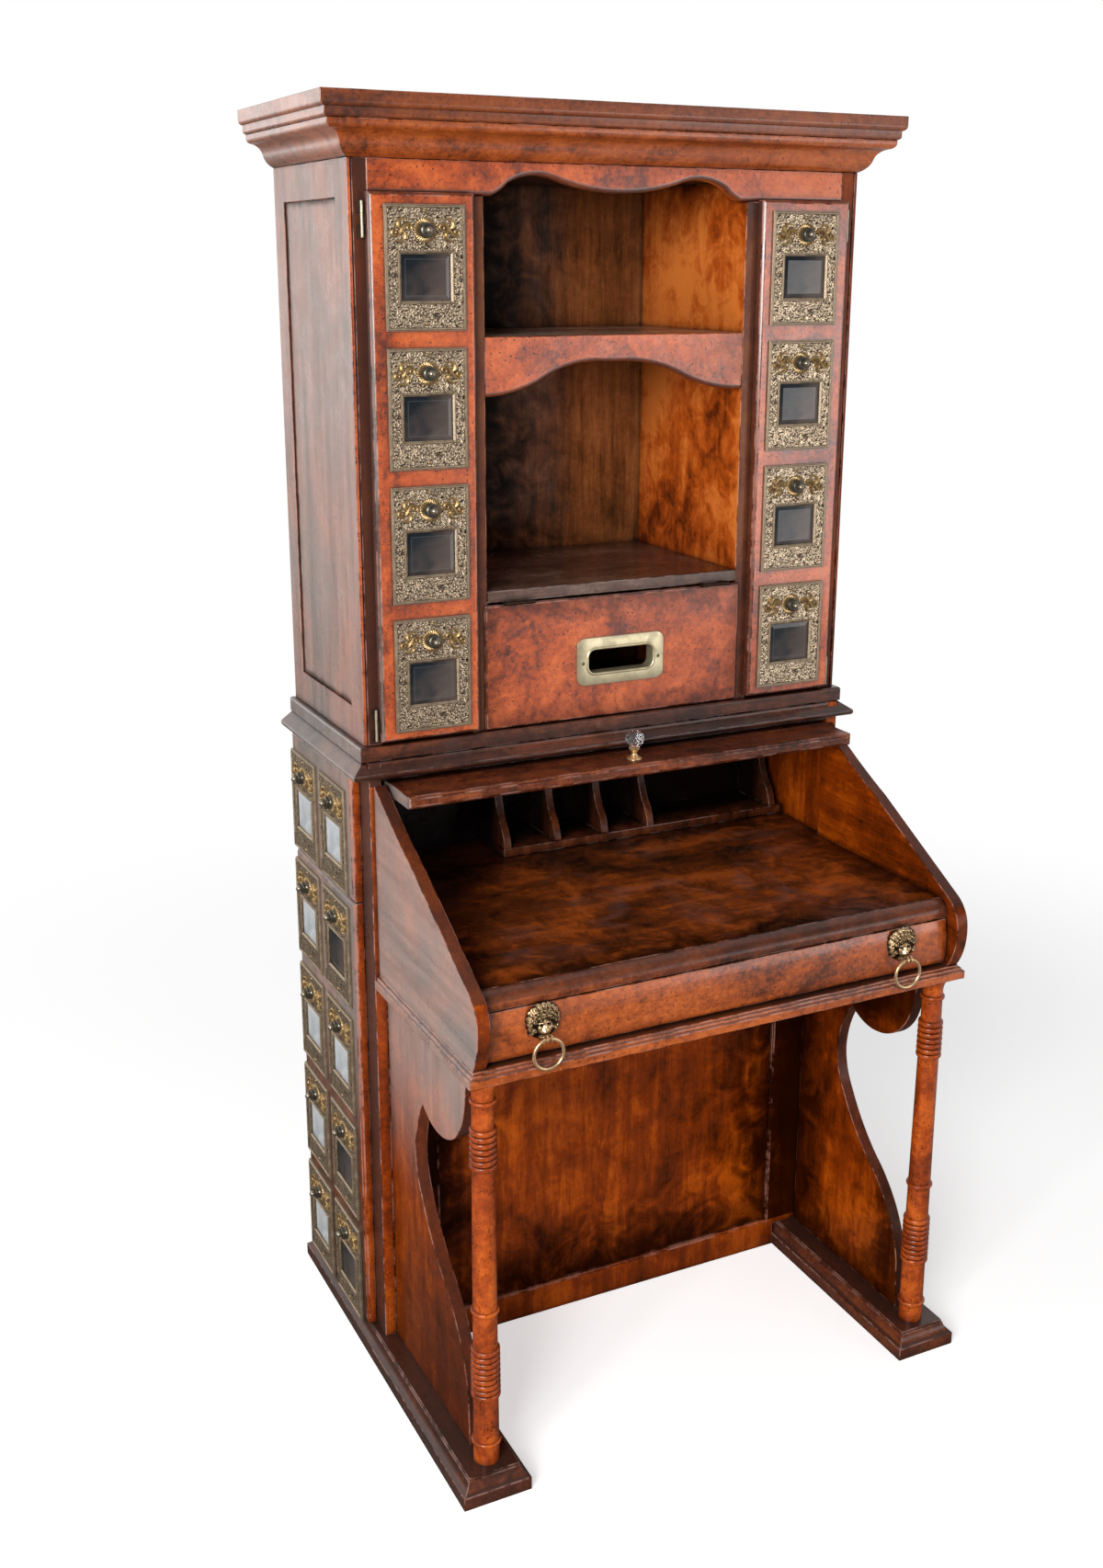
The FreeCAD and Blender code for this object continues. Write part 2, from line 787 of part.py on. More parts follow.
def waist_moulding():
    """Moulding under the waist board, round the front and ends, with its header rail."""
    outer_x = case_half_width + waist_moulding_projection
    outer_reach = case_reach + waist_moulding_projection - front_frame_thickness
    slab = moulded_slab(outer_x, outer_reach, waist_bottom, -waist_moulding_height,
                        waist_moulding_projection, waist_profile_shares)
    bottom = waist_bottom - waist_moulding_height
    case_room = board(-case_half_width, case_half_width, -overrun, case_reach,
                      bottom - overrun, waist_bottom + overrun)
    header = board(-case_inner_x, case_inner_x, case_reach - waist_header_thickness, case_reach,
                   bottom, waist_bottom)
    return slab.cut(case_room).fuse(header).removeSplitter()


def cabinet_side():
    """Right side of the letter cabinet with its front corner stile."""
    stile = board(stile_inner_x, cabinet_inner_x, cabinet_reach - stile_thickness,
                  cabinet_reach, waist_top, cabinet_top)
    return framed_side(cabinet_half_width, cabinet_reach, waist_top, cabinet_top, stile)


def cabinet_back():
    """Thin back of the letter cabinet, up to the slab of the cornice."""
    slab_share = cornice_slab_profile_shares[-1][-1][1]
    return board(-cabinet_inner_x, cabinet_inner_x, 0, back_thickness, waist_top,
                 overall_height - slab_share * cornice_height)


def cabinet_top_board():
    """Inner top of the letter cabinet, behind the shaped rail."""
    return board(-cabinet_inner_x, cabinet_inner_x, back_thickness,
                 cabinet_reach - stile_thickness, cabinet_top - cabinet_top_thickness, cabinet_top)


def partitions():
    """Uprights between the open bays and the door compartments."""
    inner = partition_inner_x
    outer = inner + partition_thickness
    upright = board(inner, outer, back_thickness, cabinet_reach, waist_top, top_rail_bottom)
    head = board(inner, outer, back_thickness, cabinet_reach - stile_thickness,
                 top_rail_bottom, cabinet_top - cabinet_top_thickness)
    return both_hands(upright.fuse(head).removeSplitter())


def top_rail():
    """Rail over the open bay with its serpentine lower edge."""
    half = stile_inner_x
    curve = [scaled(stretch, 0, top_rail_arch_half_width, top_rail_bottom, top_rail_arch_height)
             for stretch in top_rail_edge_shares]
    outline = [[(-half, cabinet_top), (-half, top_rail_bottom)],
               [(-half, top_rail_bottom), curve[0][0]]] + curve
    outline += [[curve[-1][-1], (half, top_rail_bottom)],
                [(half, top_rail_bottom), (half, cabinet_top)]]
    return front_cut(outline, cabinet_reach - top_rail_thickness, cabinet_reach)


def upper_shelf():
    """Upper shelf of the open bay, behind its apron."""
    return board(-partition_inner_x, partition_inner_x, back_thickness,
                 cabinet_reach - apron_thickness, upper_shelf_top - open_shelf_thickness,
                 upper_shelf_top)


def shelf_apron():
    """Apron under the upper shelf with its ogee arch."""
    half = partition_inner_x
    bottom = upper_shelf_top - apron_height
    curve = [scaled(stretch, 0, half, bottom, apron_arch_height)
             for stretch in apron_edge_shares]
    outline = [[(-half, upper_shelf_top), curve[0][0]]] + curve
    outline.append([curve[-1][-1], (half, upper_shelf_top)])
    return front_cut(outline, cabinet_reach - apron_thickness, cabinet_reach)


def lower_shelf():
    """Shelf over the mail compartment."""
    return board(-partition_inner_x, partition_inner_x, back_thickness, cabinet_reach,
                 lower_shelf_top - open_shelf_thickness, lower_shelf_top)


def compartment_shelves():
    """Three shelves behind each door, one between each two rows of plates."""
    first_row_top = door_top - plate_top_margin
    shelves = []
    for row in range(1, door_rows):
        top = first_row_top - row * plate_pitch + (plate_pitch - plate_height) / 2
        top += compartment_shelf_thickness / 2
        shelf = board(partition_inner_x + partition_thickness, cabinet_inner_x, back_thickness,
                      cabinet_reach - stile_thickness, top - compartment_shelf_thickness, top)
        shelves += [shelf, mirrored(shelf)]
    return loose(shelves)


def cornice_top():
    """Top slab of the cornice."""
    return moulded_slab(cornice_half_width, cornice_reach, overall_height, -cornice_height,
                        cornice_projection, cornice_slab_profile_shares)


def cornice_moulding():
    """Ovolo and cove under the slab, round the front and ends."""
    ring = moulded_slab(cornice_half_width, cornice_reach, overall_height, -cornice_height,
                        cornice_projection, cornice_moulding_profile_shares)
    room = board(-cabinet_inner_x, cabinet_inner_x, -overrun, cabinet_reach - wall,
                 cabinet_top - overrun, overall_height)
    return ring.cut(room)


def cabinet_door():
    """Right cabinet door with a bevelled face."""
    start = cabinet_reach + door_seat_gap
    panel = board(door_inner_x, door_outer_x, start, start + door_thickness, door_bottom, door_top)
    return bevel_front(panel, door_bevel)


def plate_parts(x, bottom, reach, height):
    """A brass letter box door and its dial, standing on a board that faces forward."""
    left = x - plate_width / 2
    right = x + plate_width / 2
    top = bottom + height
    ground = board(left, right, reach, reach + plate_ground, bottom, top)
    rim = board(left, right, reach, reach + plate_rim_height, bottom, top)
    rim = bevel_front(rim, plate_rim_height - plate_ground)
    rim = rim.cut(board(left + plate_rim_width, right - plate_rim_width, reach + plate_ground,
                        reach + overrun, bottom + plate_rim_width, top - plate_rim_width))
    half_window = window_width / 2
    sill = bottom + window_rise_share * height
    head = sill + window_height_share * height
    dial_z = bottom + dial_rise_share * height
    edge = window_rim_width
    surround = board(x - half_window - edge, x + half_window + edge, reach,
                     reach + window_rim_height, sill - edge, head + edge)
    surround = bevel_front(surround, window_rim_height - plate_ground)
    window = board(x - half_window, x + half_window, reach - overrun, reach + overrun + overrun,
                   sill, head)
    rosette = turned_forward([(rosette_radius, 0), (rosette_radius - rosette_height,
                                                    rosette_height)],
                             x, reach + plate_ground, dial_z)
    plate = ground.fuse([rim, surround, rosette]).removeSplitter().cut(window)
    profile = [(u * dial_radius, z * dial_height) for u, z in dial_profile_shares]
    dial = turned_forward(profile, x, reach + plate_ground + rosette_height, dial_z, dial_sides)
    return [plate, dial]


def window_pane(x, bottom, reach, height):
    """Bevelled glass in the window of a plate."""
    half_window = window_width / 2
    sill = bottom + window_rise_share * height
    pane = board(x - half_window, x + half_window, reach, reach + pane_thickness,
                 sill, sill + window_height_share * height)
    return bevel_front(pane, pane_bevel)


def door_plate_places():
    """Centre and bottom of each plate on the right cabinet door."""
    first_bottom = door_top - plate_top_margin - plate_height
    return [(plate_centre_x, first_bottom - row * plate_pitch) for row in range(door_rows)]


def door_plates():
    """Four plates with their dials on the right cabinet door."""
    face = cabinet_reach + door_seat_gap + door_thickness
    solids = []
    for x, bottom in door_plate_places():
        solids += plate_parts(x, bottom, face, plate_height)
    return loose(solids)


def door_panes():
    """Glass of the four plates on the right cabinet door."""
    face = cabinet_reach + door_seat_gap + door_thickness
    return loose([window_pane(x, bottom, face, plate_height)
                  for x, bottom in door_plate_places()])


def on_left_side(shape, face_x):
    """Turn a piece that faces forward at zero reach so that it stands on the left side."""
    turned_piece = shape.copy()
    turned_piece.translate(FreeCAD.Vector(0, -back_y, 0))
    turned_piece.rotate(FreeCAD.Vector(0, 0, 0), FreeCAD.Vector(0, 0, 1), -90)
    turned_piece.translate(FreeCAD.Vector(-face_x, back_y, 0))
    return turned_piece


def side_plate_places(rows):
    """Centre and bottom of each plate on the left side, with x standing for the reach."""
    places = []
    for row in rows:
        bottom = side_plate_top - side_plate_height - row * side_plate_pitch
        places += [(side_plate_first, bottom), (side_plate_first + side_plate_step, bottom)]
    return places


def side_plates(rows):
    """Plates with their dials on the left side."""
    face = case_half_width + side_board_thickness
    solids = []
    for x, bottom in side_plate_places(rows):
        solids += plate_parts(x, bottom, 0, side_plate_height)
    return loose([on_left_side(solid, face) for solid in solids])


def side_panes(rows):
    """Glass of the plates on the left side."""
    face = case_half_width + side_board_thickness
    panes = [window_pane(x, bottom, 0, side_plate_height)
             for x, bottom in side_plate_places(rows)]
    return loose([on_left_side(pane, face) for pane in panes])


def upper_side_panel():
    """Fixed board over the side door, with the first row of plates."""
    panel = board(case_half_width, case_half_width + side_board_thickness,
                  side_board_back, side_board_front, side_panel_bottom, side_panel_top)
    return mirrored(bevel_outside(panel, door_bevel))


def side_door():
    """Door on the left side of the lower case."""
    start = case_half_width + door_seat_gap
    panel = board(start, case_half_width + side_board_thickness,
                  side_board_back, side_board_front, side_door_bottom, side_door_top)
    return mirrored(bevel_outside(panel, door_bevel))


def knuckle(radius, start, length):
    """One upright knuckle or pin of a hinge about the origin."""
    return turned([(radius, start), (radius, start + length)], 0, back_y, 0)


def corner_hinge():
    """A butt hinge for a door laid on a face: the fixed half with its pin, and the door's half.

    The pin stands at the origin. The fixed leaf lies on the face, to the right, and the door's
    leaf on the edge of the door, which points forward.
    """
    third = hinge_length / 3
    fixed = knuckle(hinge_radius, 0, third).fuse(knuckle(hinge_radius, 2 * third, third))
    pin = knuckle(hinge_pin_radius, 0, hinge_length)
    face_leaf = Part.makeBox(hinge_leaf_width, hinge_leaf_thickness, hinge_length)
    face_leaf.translate(FreeCAD.Vector(0, hinge_offset - hinge_leaf_thickness, 0))
    clear = knuckle(hinge_radius + hinge_offset, third, third)
    fixed = fixed.fuse(face_leaf).cut(clear).fuse(pin).removeSplitter()
    middle = third - knuckle_gap - knuckle_gap
    moving = knuckle(hinge_radius, third + knuckle_gap, middle)
    edge_leaf = Part.makeBox(hinge_leaf_thickness, hinge_leaf_width, middle)
    edge_leaf.translate(FreeCAD.Vector(-hinge_offset, -hinge_leaf_width, third + knuckle_gap))
    bore = knuckle(round_about(hinge_pin_radius + pin_gap), 0, hinge_length)
    moving = moving.fuse(edge_leaf).removeSplitter().cut(bore)
    return fixed, moving


def placed_at(shape, x, reach, z):
    """A piece made at the origin, moved to its place."""
    moved = shape.copy()
    moved.translate(point(x, reach, z))
    return moved


def door_hinges():
    """Both halves of the two hinges of the right cabinet door."""
    fixed, moving = corner_hinge()
    x = door_outer_x + hinge_offset
    reach = cabinet_reach + hinge_offset
    low = door_bottom + panel_gap
    high = door_top - hinge_margin - hinge_length
    return ([placed_at(fixed, x, reach, z) for z in (low, high)],
            [placed_at(moving, x, reach, z) for z in (low, high)])


def side_door_hinges():
    """Both halves of the two hinges at the rear edge of the side door."""
    fixed, moving = corner_hinge()
    x = -case_half_width - hinge_offset
    room = side_door_top - side_door_bottom - hinge_length
    halves = ([], [])
    for share in side_hinge_shares:
        z = side_door_bottom + share * room
        for half, shape in zip(halves, (fixed, moving)):
            turned_half = mirrored(shape)
            turned_half.rotate(FreeCAD.Vector(0, 0, 0), FreeCAD.Vector(0, 0, 1), -90)
            half.append(placed_at(turned_half, x, side_hinge_reach, z))
    return halves


def flap_hinges():
    """Both halves of the two hinges over the mail flap."""
    halves = ([], [])
    third = flap_hinge_length / 3
    axis = (flap_hinge_reach, flap_hinge_z)
    shelf_bottom = lower_shelf_top - open_shelf_thickness
    for centre in flap_hinge_places:
        start = centre - flap_hinge_length / 2
        end = start + flap_hinge_length
        left = pin_across(start, start + third, axis[0], axis[1], flap_hinge_radius)
        right = pin_across(end - third, end, axis[0], axis[1], flap_hinge_radius)
        pin = pin_across(start, end, axis[0], axis[1], flap_hinge_pin_radius)
        leaf_back = flap_hinge_reach - flap_leaf_width
        upper_leaf = board(start, end, leaf_back, flap_hinge_reach,
                           shelf_bottom - flap_leaf_thickness, shelf_bottom)
        clear = pin_across(start + third, end - third, axis[0], axis[1],
                           flap_hinge_radius + knuckle_gap)
        halves[0].append(upper_leaf.fuse([left, right]).cut(clear).fuse(pin).removeSplitter())
        inner_start = start + third + knuckle_gap
        inner_end = end - third - knuckle_gap
        middle = pin_across(inner_start, inner_end, axis[0], axis[1], flap_hinge_radius)
        lower_leaf = board(inner_start, inner_end, leaf_back, flap_hinge_reach,
                           flap_top, flap_top + flap_leaf_thickness)
        bore = pin_across(start, end, axis[0], axis[1],
                          round_about(flap_hinge_pin_radius + pin_gap))
        halves[1].append(middle.fuse(lower_leaf).removeSplitter().cut(bore))
    return halves


def mail_flap():
    """Flap of the mail compartment: a lipped face over a body that fits between the partitions."""
    lip = board(-flap_half_width, flap_half_width, cabinet_reach + door_seat_gap,
                cabinet_reach + flap_lip, flap_bottom, flap_top)
    lip = bevel_front(lip, flap_bevel)
    body = board(-flap_body_half_width, flap_body_half_width,
                 cabinet_reach - flap_body_thickness, cabinet_reach + door_seat_gap,
                 flap_bottom + flap_body_margin, flap_top - flap_body_margin)
    lining = rounded_block(letter_plate_x, letter_plate_z, slot_width + 2 * slot_lining,
                           slot_height + 2 * slot_lining, slot_corner + slot_lining,
                           cabinet_reach - flap_body_thickness - overrun,
                           cabinet_reach + flap_lip + overrun)
    return lip.fuse(body).removeSplitter().cut(lining)


def letter_plate():
    """Brass letter plate with a raised rim and a lining through the flap."""
    face = cabinet_reach + flap_lip
    back = cabinet_reach - flap_body_thickness
    plate = rounded_block(letter_plate_x, letter_plate_z, letter_plate_width,
                          letter_plate_height, letter_plate_corner,
                          face, face + letter_plate_thickness)
    rim = rounded_block(letter_plate_x, letter_plate_z, slot_width + 2 * letter_rim_width,
                        slot_height + 2 * letter_rim_width, slot_corner + letter_rim_width,
                        face, face + letter_rim_height)
    lining = rounded_block(letter_plate_x, letter_plate_z, slot_width + 2 * slot_lining,
                           slot_height + 2 * slot_lining, slot_corner + slot_lining, back, face)
    slot = rounded_block(letter_plate_x, letter_plate_z, slot_width, slot_height, slot_corner,
                         back - overrun, face + letter_rim_height + overrun)
    return plate.fuse([rim, lining]).removeSplitter().cut(slot)


def mail_flap_fittings():
    """Letter plate and the flap's halves of its hinges."""
    return loose([letter_plate()] + flap_hinges()[1])


def fixed_hinge_halves():
    """Halves of all hinges that stay on the cabinet and case, with their pins."""
    cabinet_halves = door_hinges()[0]
    other_door = [mirrored(half) for half in cabinet_halves]
    return loose(cabinet_halves + other_door + side_door_hinges()[0] + flap_hinges()[0])


def lid():
    """Sliding lid of the writing box, eased along its front and ends."""
    panel = board(-lid_half_width, lid_half_width, lid_reach - lid_length, lid_reach,
                  lid_bottom, lid_top)
    return bevel_front(panel, lid_edge)


def lid_knob_base():
    """Turned brass stem of the lid knob."""
    profile = [(u * knob_base_radius, z * knob_base_height) for u, z in knob_base_shares]
    return turned(profile, 0, knob_reach, lid_top)


def lid_knob():
    """Faceted glass ball of the lid knob, flat where it sits on its stem."""
    profile = [(u * knob_ball_radius, z * knob_ball_height) for u, z in knob_ball_shares]
    return turned(profile, 0, knob_reach, lid_top + knob_base_height)


def drawer_front():
    """Swelled front of the drawer between the gables."""
    half = gable_inner_x - drawer_side_gap
    back = drawer_reach - drawer_front_thickness
    face = [[(back + u * drawer_front_thickness, drawer_bottom + z * drawer_height)
             for z, u in stretch] for stretch in drawer_face_shares]
    outline = face + [[face[-1][-1], (back, drawer_top)],
                      [(back, drawer_top), (back, drawer_bottom)]]
    return side_cut(outline, -half, half)


def drawer_box():
    """Sides, back and bottom of the drawer."""
    outer = gable_inner_x - drawer_side_gap
    inner = outer - drawer_side_thickness
    front = drawer_reach - drawer_front_thickness
    rear = case_reach + drawer_back_gap
    bottom_z = drawer_bottom + drawer_bottom_rise
    side = board(inner, outer, rear, front, drawer_bottom, drawer_bottom + drawer_side_height)
    back = board(-inner, inner, rear, rear + drawer_side_thickness,
                 drawer_bottom, drawer_bottom + drawer_back_height)
    bottom = board(-inner, inner, rear + drawer_side_thickness, front,
                   bottom_z, bottom_z + drawer_bottom_thickness)
    return loose([side, mirrored(side), back, bottom])


def lion_mask():
    """Right mask: a domed back, a snout, and the eye that holds the ring."""
    dome = turned_forward([(u * mask_radius, z * mask_height) for u, z in mask_dome_shares],
                          mask_x, drawer_reach, mask_z)
    snout_z = (mask_z + ring_axis_z) / 2
    snout = turned_forward([(u * snout_radius, z * snout_height) for u, z in snout_shares],
                           mask_x, drawer_reach + mask_height - snout_sink, snout_z)
    half_eye = ring_eye_width / 2
    eye = pin_across(mask_x - half_eye, mask_x + half_eye, ring_reach, ring_axis_z, ring_eye_radius)
    neck = board(mask_x - half_eye, mask_x + half_eye, drawer_reach, ring_reach,
                 ring_axis_z - ring_eye_bore, ring_axis_z + ring_eye_radius)
    bore = pin_across(mask_x - half_eye - overrun, mask_x + half_eye + overrun,
                      ring_reach, ring_axis_z, ring_eye_bore)
    return dome.fuse([snout, eye, neck]).cut(bore)


def pull_ring():
    """Right ring of faceted wire, hanging from the eye of its mask."""
    sections = []
    for index in range(ring_sides):
        turn = 2 * math.pi * (index + 0.5) / ring_sides
        section = []
        for corner in range(wire_sides):
            angle = 2 * math.pi * (corner + 0.5) / wire_sides
            out = ring_radius + ring_wire_radius * math.cos(angle)
            forward = ring_wire_radius * math.sin(angle)
            section.append(point(mask_x + out * math.sin(turn), ring_reach + forward,
                                 ring_axis_z - ring_radius + out * math.cos(turn)))
        sections.append(section)
    faces = []
    for index, section in enumerate(sections):
        faces += strip_faces(sections[index - 1], section)
    return Part.makeSolid(Part.makeShell(faces))


def all_parts():
    """Every sub-part by its name."""
    right_foot = foot()
    right_bracket = bracket()
    right_gable = gable()
    right_side = cabinet_side()
    right_door = cabinet_door()
    right_plates = door_plates()
    right_panes = door_panes()
    right_leaves = loose(door_hinges()[1])
    right_ring = pull_ring()
    side_door_row_list = range(1, side_door_rows + 1)
    return {
        "right_foot": right_foot,
        "left_foot": mirrored(right_foot),
        "columns": both_hands(bamboo_column()),
        "right_bracket": right_bracket,
        "left_bracket": mirrored(right_bracket),
        "base_board": base_board(),
        "right_gable": right_gable,
        "left_gable": mirrored(right_gable),
        "writing_surface": writing_surface(),
        "front_rail": front_rail(),
        "pigeonholes": pigeonholes(),
        "well_back": well_back(),
        "lid_runners": lid_runners(),
        "drawer_runners": drawer_runners(),
        "left_case_side": case_side_with_opening(),
        "right_case_side": framed_side(case_half_width, case_reach, foot_height, waist_bottom),
        "case_back": case_back(),
        "case_floor": case_floor(),
        "cabinet_shelves": cabinet_shelves(),
        "knee_frame": knee_frame(),
        "waist_board": waist_board(),
        "waist_moulding": waist_moulding(),
        "right_cabinet_side": right_side,
        "left_cabinet_side": mirrored(right_side),
        "cabinet_back": cabinet_back(),
        "cabinet_top_board": cabinet_top_board(),
        "partitions": partitions(),
        "top_rail": top_rail(),
        "upper_shelf": upper_shelf(),
        "shelf_apron": shelf_apron(),
        "lower_shelf": lower_shelf(),
        "compartment_shelves": compartment_shelves(),
        "cornice_top": cornice_top(),
        "cornice_moulding": cornice_moulding(),
        "fixed_hinge_halves": fixed_hinge_halves(),
        "upper_side_panel": upper_side_panel(),
        "upper_side_plates": side_plates([0]),
        "upper_side_panes": side_panes([0]),
        "right_door": right_door,
        "right_door_plates": right_plates,
        "right_door_panes": right_panes,
        "right_door_hinges": right_leaves,
        "left_door": mirrored(right_door),
        "left_door_plates": mirrored(right_plates),
        "left_door_panes": mirrored(right_panes),
        "left_door_hinges": mirrored(right_leaves),
        "side_door": side_door(),
        "side_door_plates": side_plates(side_door_row_list),
        "side_door_panes": side_panes(side_door_row_list),
        "side_door_hinges": loose(side_door_hinges()[1]),
        "mail_flap": mail_flap(),
        "mail_flap_fittings": mail_flap_fittings(),
        "lid": lid(),
        "lid_knob_base": lid_knob_base(),
        "lid_knob": lid_knob(),
        "drawer_front": drawer_front(),
        "drawer_box": drawer_box(),
        "lion_masks": both_hands(lion_mask()),
        "right_ring": right_ring,
        "left_ring": mirrored(right_ring),
    }


os.makedirs("parts", exist_ok=True)
for name, shape in all_parts().items():
    shape.exportStep("parts/" + name + ".step")
    print(name, len(shape.Solids), "solids", round(shape.Volume), shape.isValid())
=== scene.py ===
import json
import math
from functools import cache

import bmesh
import bpy
from mathutils import Matrix, Vector, noise


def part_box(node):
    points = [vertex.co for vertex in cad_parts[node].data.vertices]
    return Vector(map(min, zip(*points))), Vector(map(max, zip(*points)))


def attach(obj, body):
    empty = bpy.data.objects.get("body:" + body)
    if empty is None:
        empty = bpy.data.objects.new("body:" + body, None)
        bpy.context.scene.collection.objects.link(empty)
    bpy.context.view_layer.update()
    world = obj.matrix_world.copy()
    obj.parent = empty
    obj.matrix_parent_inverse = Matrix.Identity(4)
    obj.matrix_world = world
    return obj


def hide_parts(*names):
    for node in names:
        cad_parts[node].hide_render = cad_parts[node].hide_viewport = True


bl_info = {
    "name": "Clerk's Desk",
    "version": (1, 0, 0),
    "blender": (4, 5, 0),
    "location": "View3D > Sidebar > Desk",
    "description": "Dresses the frame of a clerk's desk in burl, dark wood, brass and glass",
    "category": "Add Mesh",
}

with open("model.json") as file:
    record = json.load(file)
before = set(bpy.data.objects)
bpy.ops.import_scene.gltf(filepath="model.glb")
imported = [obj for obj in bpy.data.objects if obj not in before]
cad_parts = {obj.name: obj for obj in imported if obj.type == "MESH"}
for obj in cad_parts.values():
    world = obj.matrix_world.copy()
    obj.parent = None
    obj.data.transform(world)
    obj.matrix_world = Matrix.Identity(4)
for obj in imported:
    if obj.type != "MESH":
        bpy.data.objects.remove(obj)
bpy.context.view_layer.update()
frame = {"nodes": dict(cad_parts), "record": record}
BODY_OF = {node: body for body, nodes in frame["record"]["behaviour"]["bodies"].items()
           for node in nodes}


# Settings

def chip(red, green, blue):
    """Scene-linear colour of a paint chip that is given in 0 to 255."""
    return tuple((v / 255 / 12.92) if v < 11 else ((v / 255 + 0.055) / 1.055) ** 2.4
                 for v in (red, green, blue))


def colour(name, description, red, green, blue):
    """A colour setting."""
    return bpy.props.FloatVectorProperty(name=name, description=description, size=3, min=0, max=1,
                                         subtype="COLOR", default=chip(red, green, blue))


def length(name, description, default):
    """A length setting in metres."""
    return bpy.props.FloatProperty(name=name, description=description, default=default, min=0,
                                   unit="LENGTH", subtype="DISTANCE", precision=4)


def amount(name, description, default, top=1.0):
    """A plain number setting."""
    return bpy.props.FloatProperty(name=name, description=description, default=default, min=0,
                                   max=top)


TONES = {"light": "Light places of the", "mid": "Most of the", "dark": "Dark clouds of the"}

# What each wood is called, and its light, middle and dark colour
WOODS = {
    "burl": ("bright burl", (214, 102, 40), (182, 76, 22), (104, 38, 12)),
    "cherry": ("columns", (208, 98, 26), (162, 66, 17), (100, 38, 8)),
    "brown": ("brown burl", (202, 102, 40), (168, 78, 26), (90, 38, 14)),
    "walnut": ("walnut boards", (158, 80, 38), (110, 50, 24), (50, 25, 15)),
    "panel": ("panels", (198, 90, 10), (138, 54, 4), (66, 25, 4)),
    # Inner walls: brighter than the panels, in part as painted light on the walls that face the key
    # lamp.
    "glow": ("inner walls", (228, 126, 52), (188, 84, 22), (96, 36, 8)),
    "olive": ("cabinet's back", (184, 116, 66), (140, 82, 42), (50, 31, 14)),
    "top": ("worktop", (184, 88, 30), (120, 56, 21), (56, 29, 16)),
    "shelf": ("shelves", (206, 190, 176), (166, 148, 134), (68, 46, 36)),
    "dusty": ("low shelf", (134, 106, 92), (96, 68, 56), (52, 35, 29)),
    # Pigeonholes: kept dark, in part as painted shade inside the well; the hidden boards use these
    # too.
    "well": ("pigeonholes", (130, 66, 34), (84, 40, 20), (26, 15, 10)),
    "dark": ("dark mouldings", (118, 60, 34), (72, 37, 25), (36, 19, 14)),
}


class DeskWood(bpy.types.PropertyGroup):
    """Colours and edges of the wooden pieces."""

    lip: colour("Lip", "Rounded lips of the doors, the flap and the shaped rails", 76, 50, 42)
    # Painted reflection: the pale colour laid over faces that look left, standing in for the white
    # room mirrored in their lacquer.
    faded: colour("Faded side", "Bloom on the side that stood to the light", 184, 177, 171)
    edge_round: length("Edge rounding", "Width of the worn edges", 0.0014)


for kind, (title, *shades) in WOODS.items():
    for (tone, place), shade in zip(TONES.items(), shades):
        DeskWood.__annotations__[f"{kind}_{tone}"] = colour(
            f"{title.capitalize()}, {tone}", f"{place} {title}", *shade)


class DeskMetal(bpy.types.PropertyGroup):
    """Colours and sizes of the metal and glass pieces."""

    brass_light: colour("Brass, rubbed", "Rubbed high places of the letter fronts", 222, 198, 168)
    brass_dark: colour("Brass, recessed", "Dark recesses of the letter fronts", 44, 30, 20)
    gilt_light: colour("Gilt, bright", "High places of masks and rings", 234, 198, 150)
    gilt_dark: colour("Gilt, dark", "Recesses of masks and rings", 46, 31, 18)
    satin: colour("Satin brass", "Letter plate on the mail flap", 226, 212, 176)
    hinge: colour("Hinge brass", "Butt hinges", 206, 192, 164)
    dial: colour("Dial", "Grey metal of the dials", 112, 108, 98)
    pebble_size: length("Pebble size", "Spacing of the pebbles on the letter fronts", 0.0026)
    pebble_height: length("Pebble height", "Height of the pebbles", 0.0008)


class DeskStage(bpy.types.PropertyGroup):
    """Camera, lamps and floor."""

    lens: bpy.props.FloatProperty(name="Lens", description="Focal length of the camera",
                                  default=37.96, min=10, unit="CAMERA")
    key_power: amount("Key lamp", "Power of the lamp at the left, in watts", 190, 2000)
    fill_power: amount("Fill lamp", "Power of the lamp at the front right, in watts", 22, 2000)
    back_power: amount("Back lamp", "Power of the lamp behind the left side, in watts", 14, 2000)
    room: amount("Room light", "Strength of the light from all round", 0.18, 5)
    floor: colour("Floor", "Pale floor", 240, 240, 240)


# Materials

class Value:
    """A value that a material works out; sums of it add nodes."""

    def __init__(self, finish, socket):
        self.finish = finish
        self.socket = socket

    def __add__(self, other):
        return self.finish.maths("ADD", self, other)

    def __mul__(self, other):
        return self.finish.maths("MULTIPLY", self, other)

    def __sub__(self, other):
        return self.finish.maths("SUBTRACT", self, other)

    def __rsub__(self, other):
        return self.finish.maths("SUBTRACT", other, self)

    def __abs__(self):
        return self.finish.maths("ABSOLUTE", self)

    def band(self, low, high, to_low=0.0, to_high=1.0, ends="SMOOTHSTEP"):
        """Spread a stretch of the value over another, with smooth ends."""
        return self.finish.value("MapRange", {"Value": self, "From Min": low, "From Max": high,
                                              "To Min": to_low, "To Max": to_high},
                                 interpolation_type=ends)


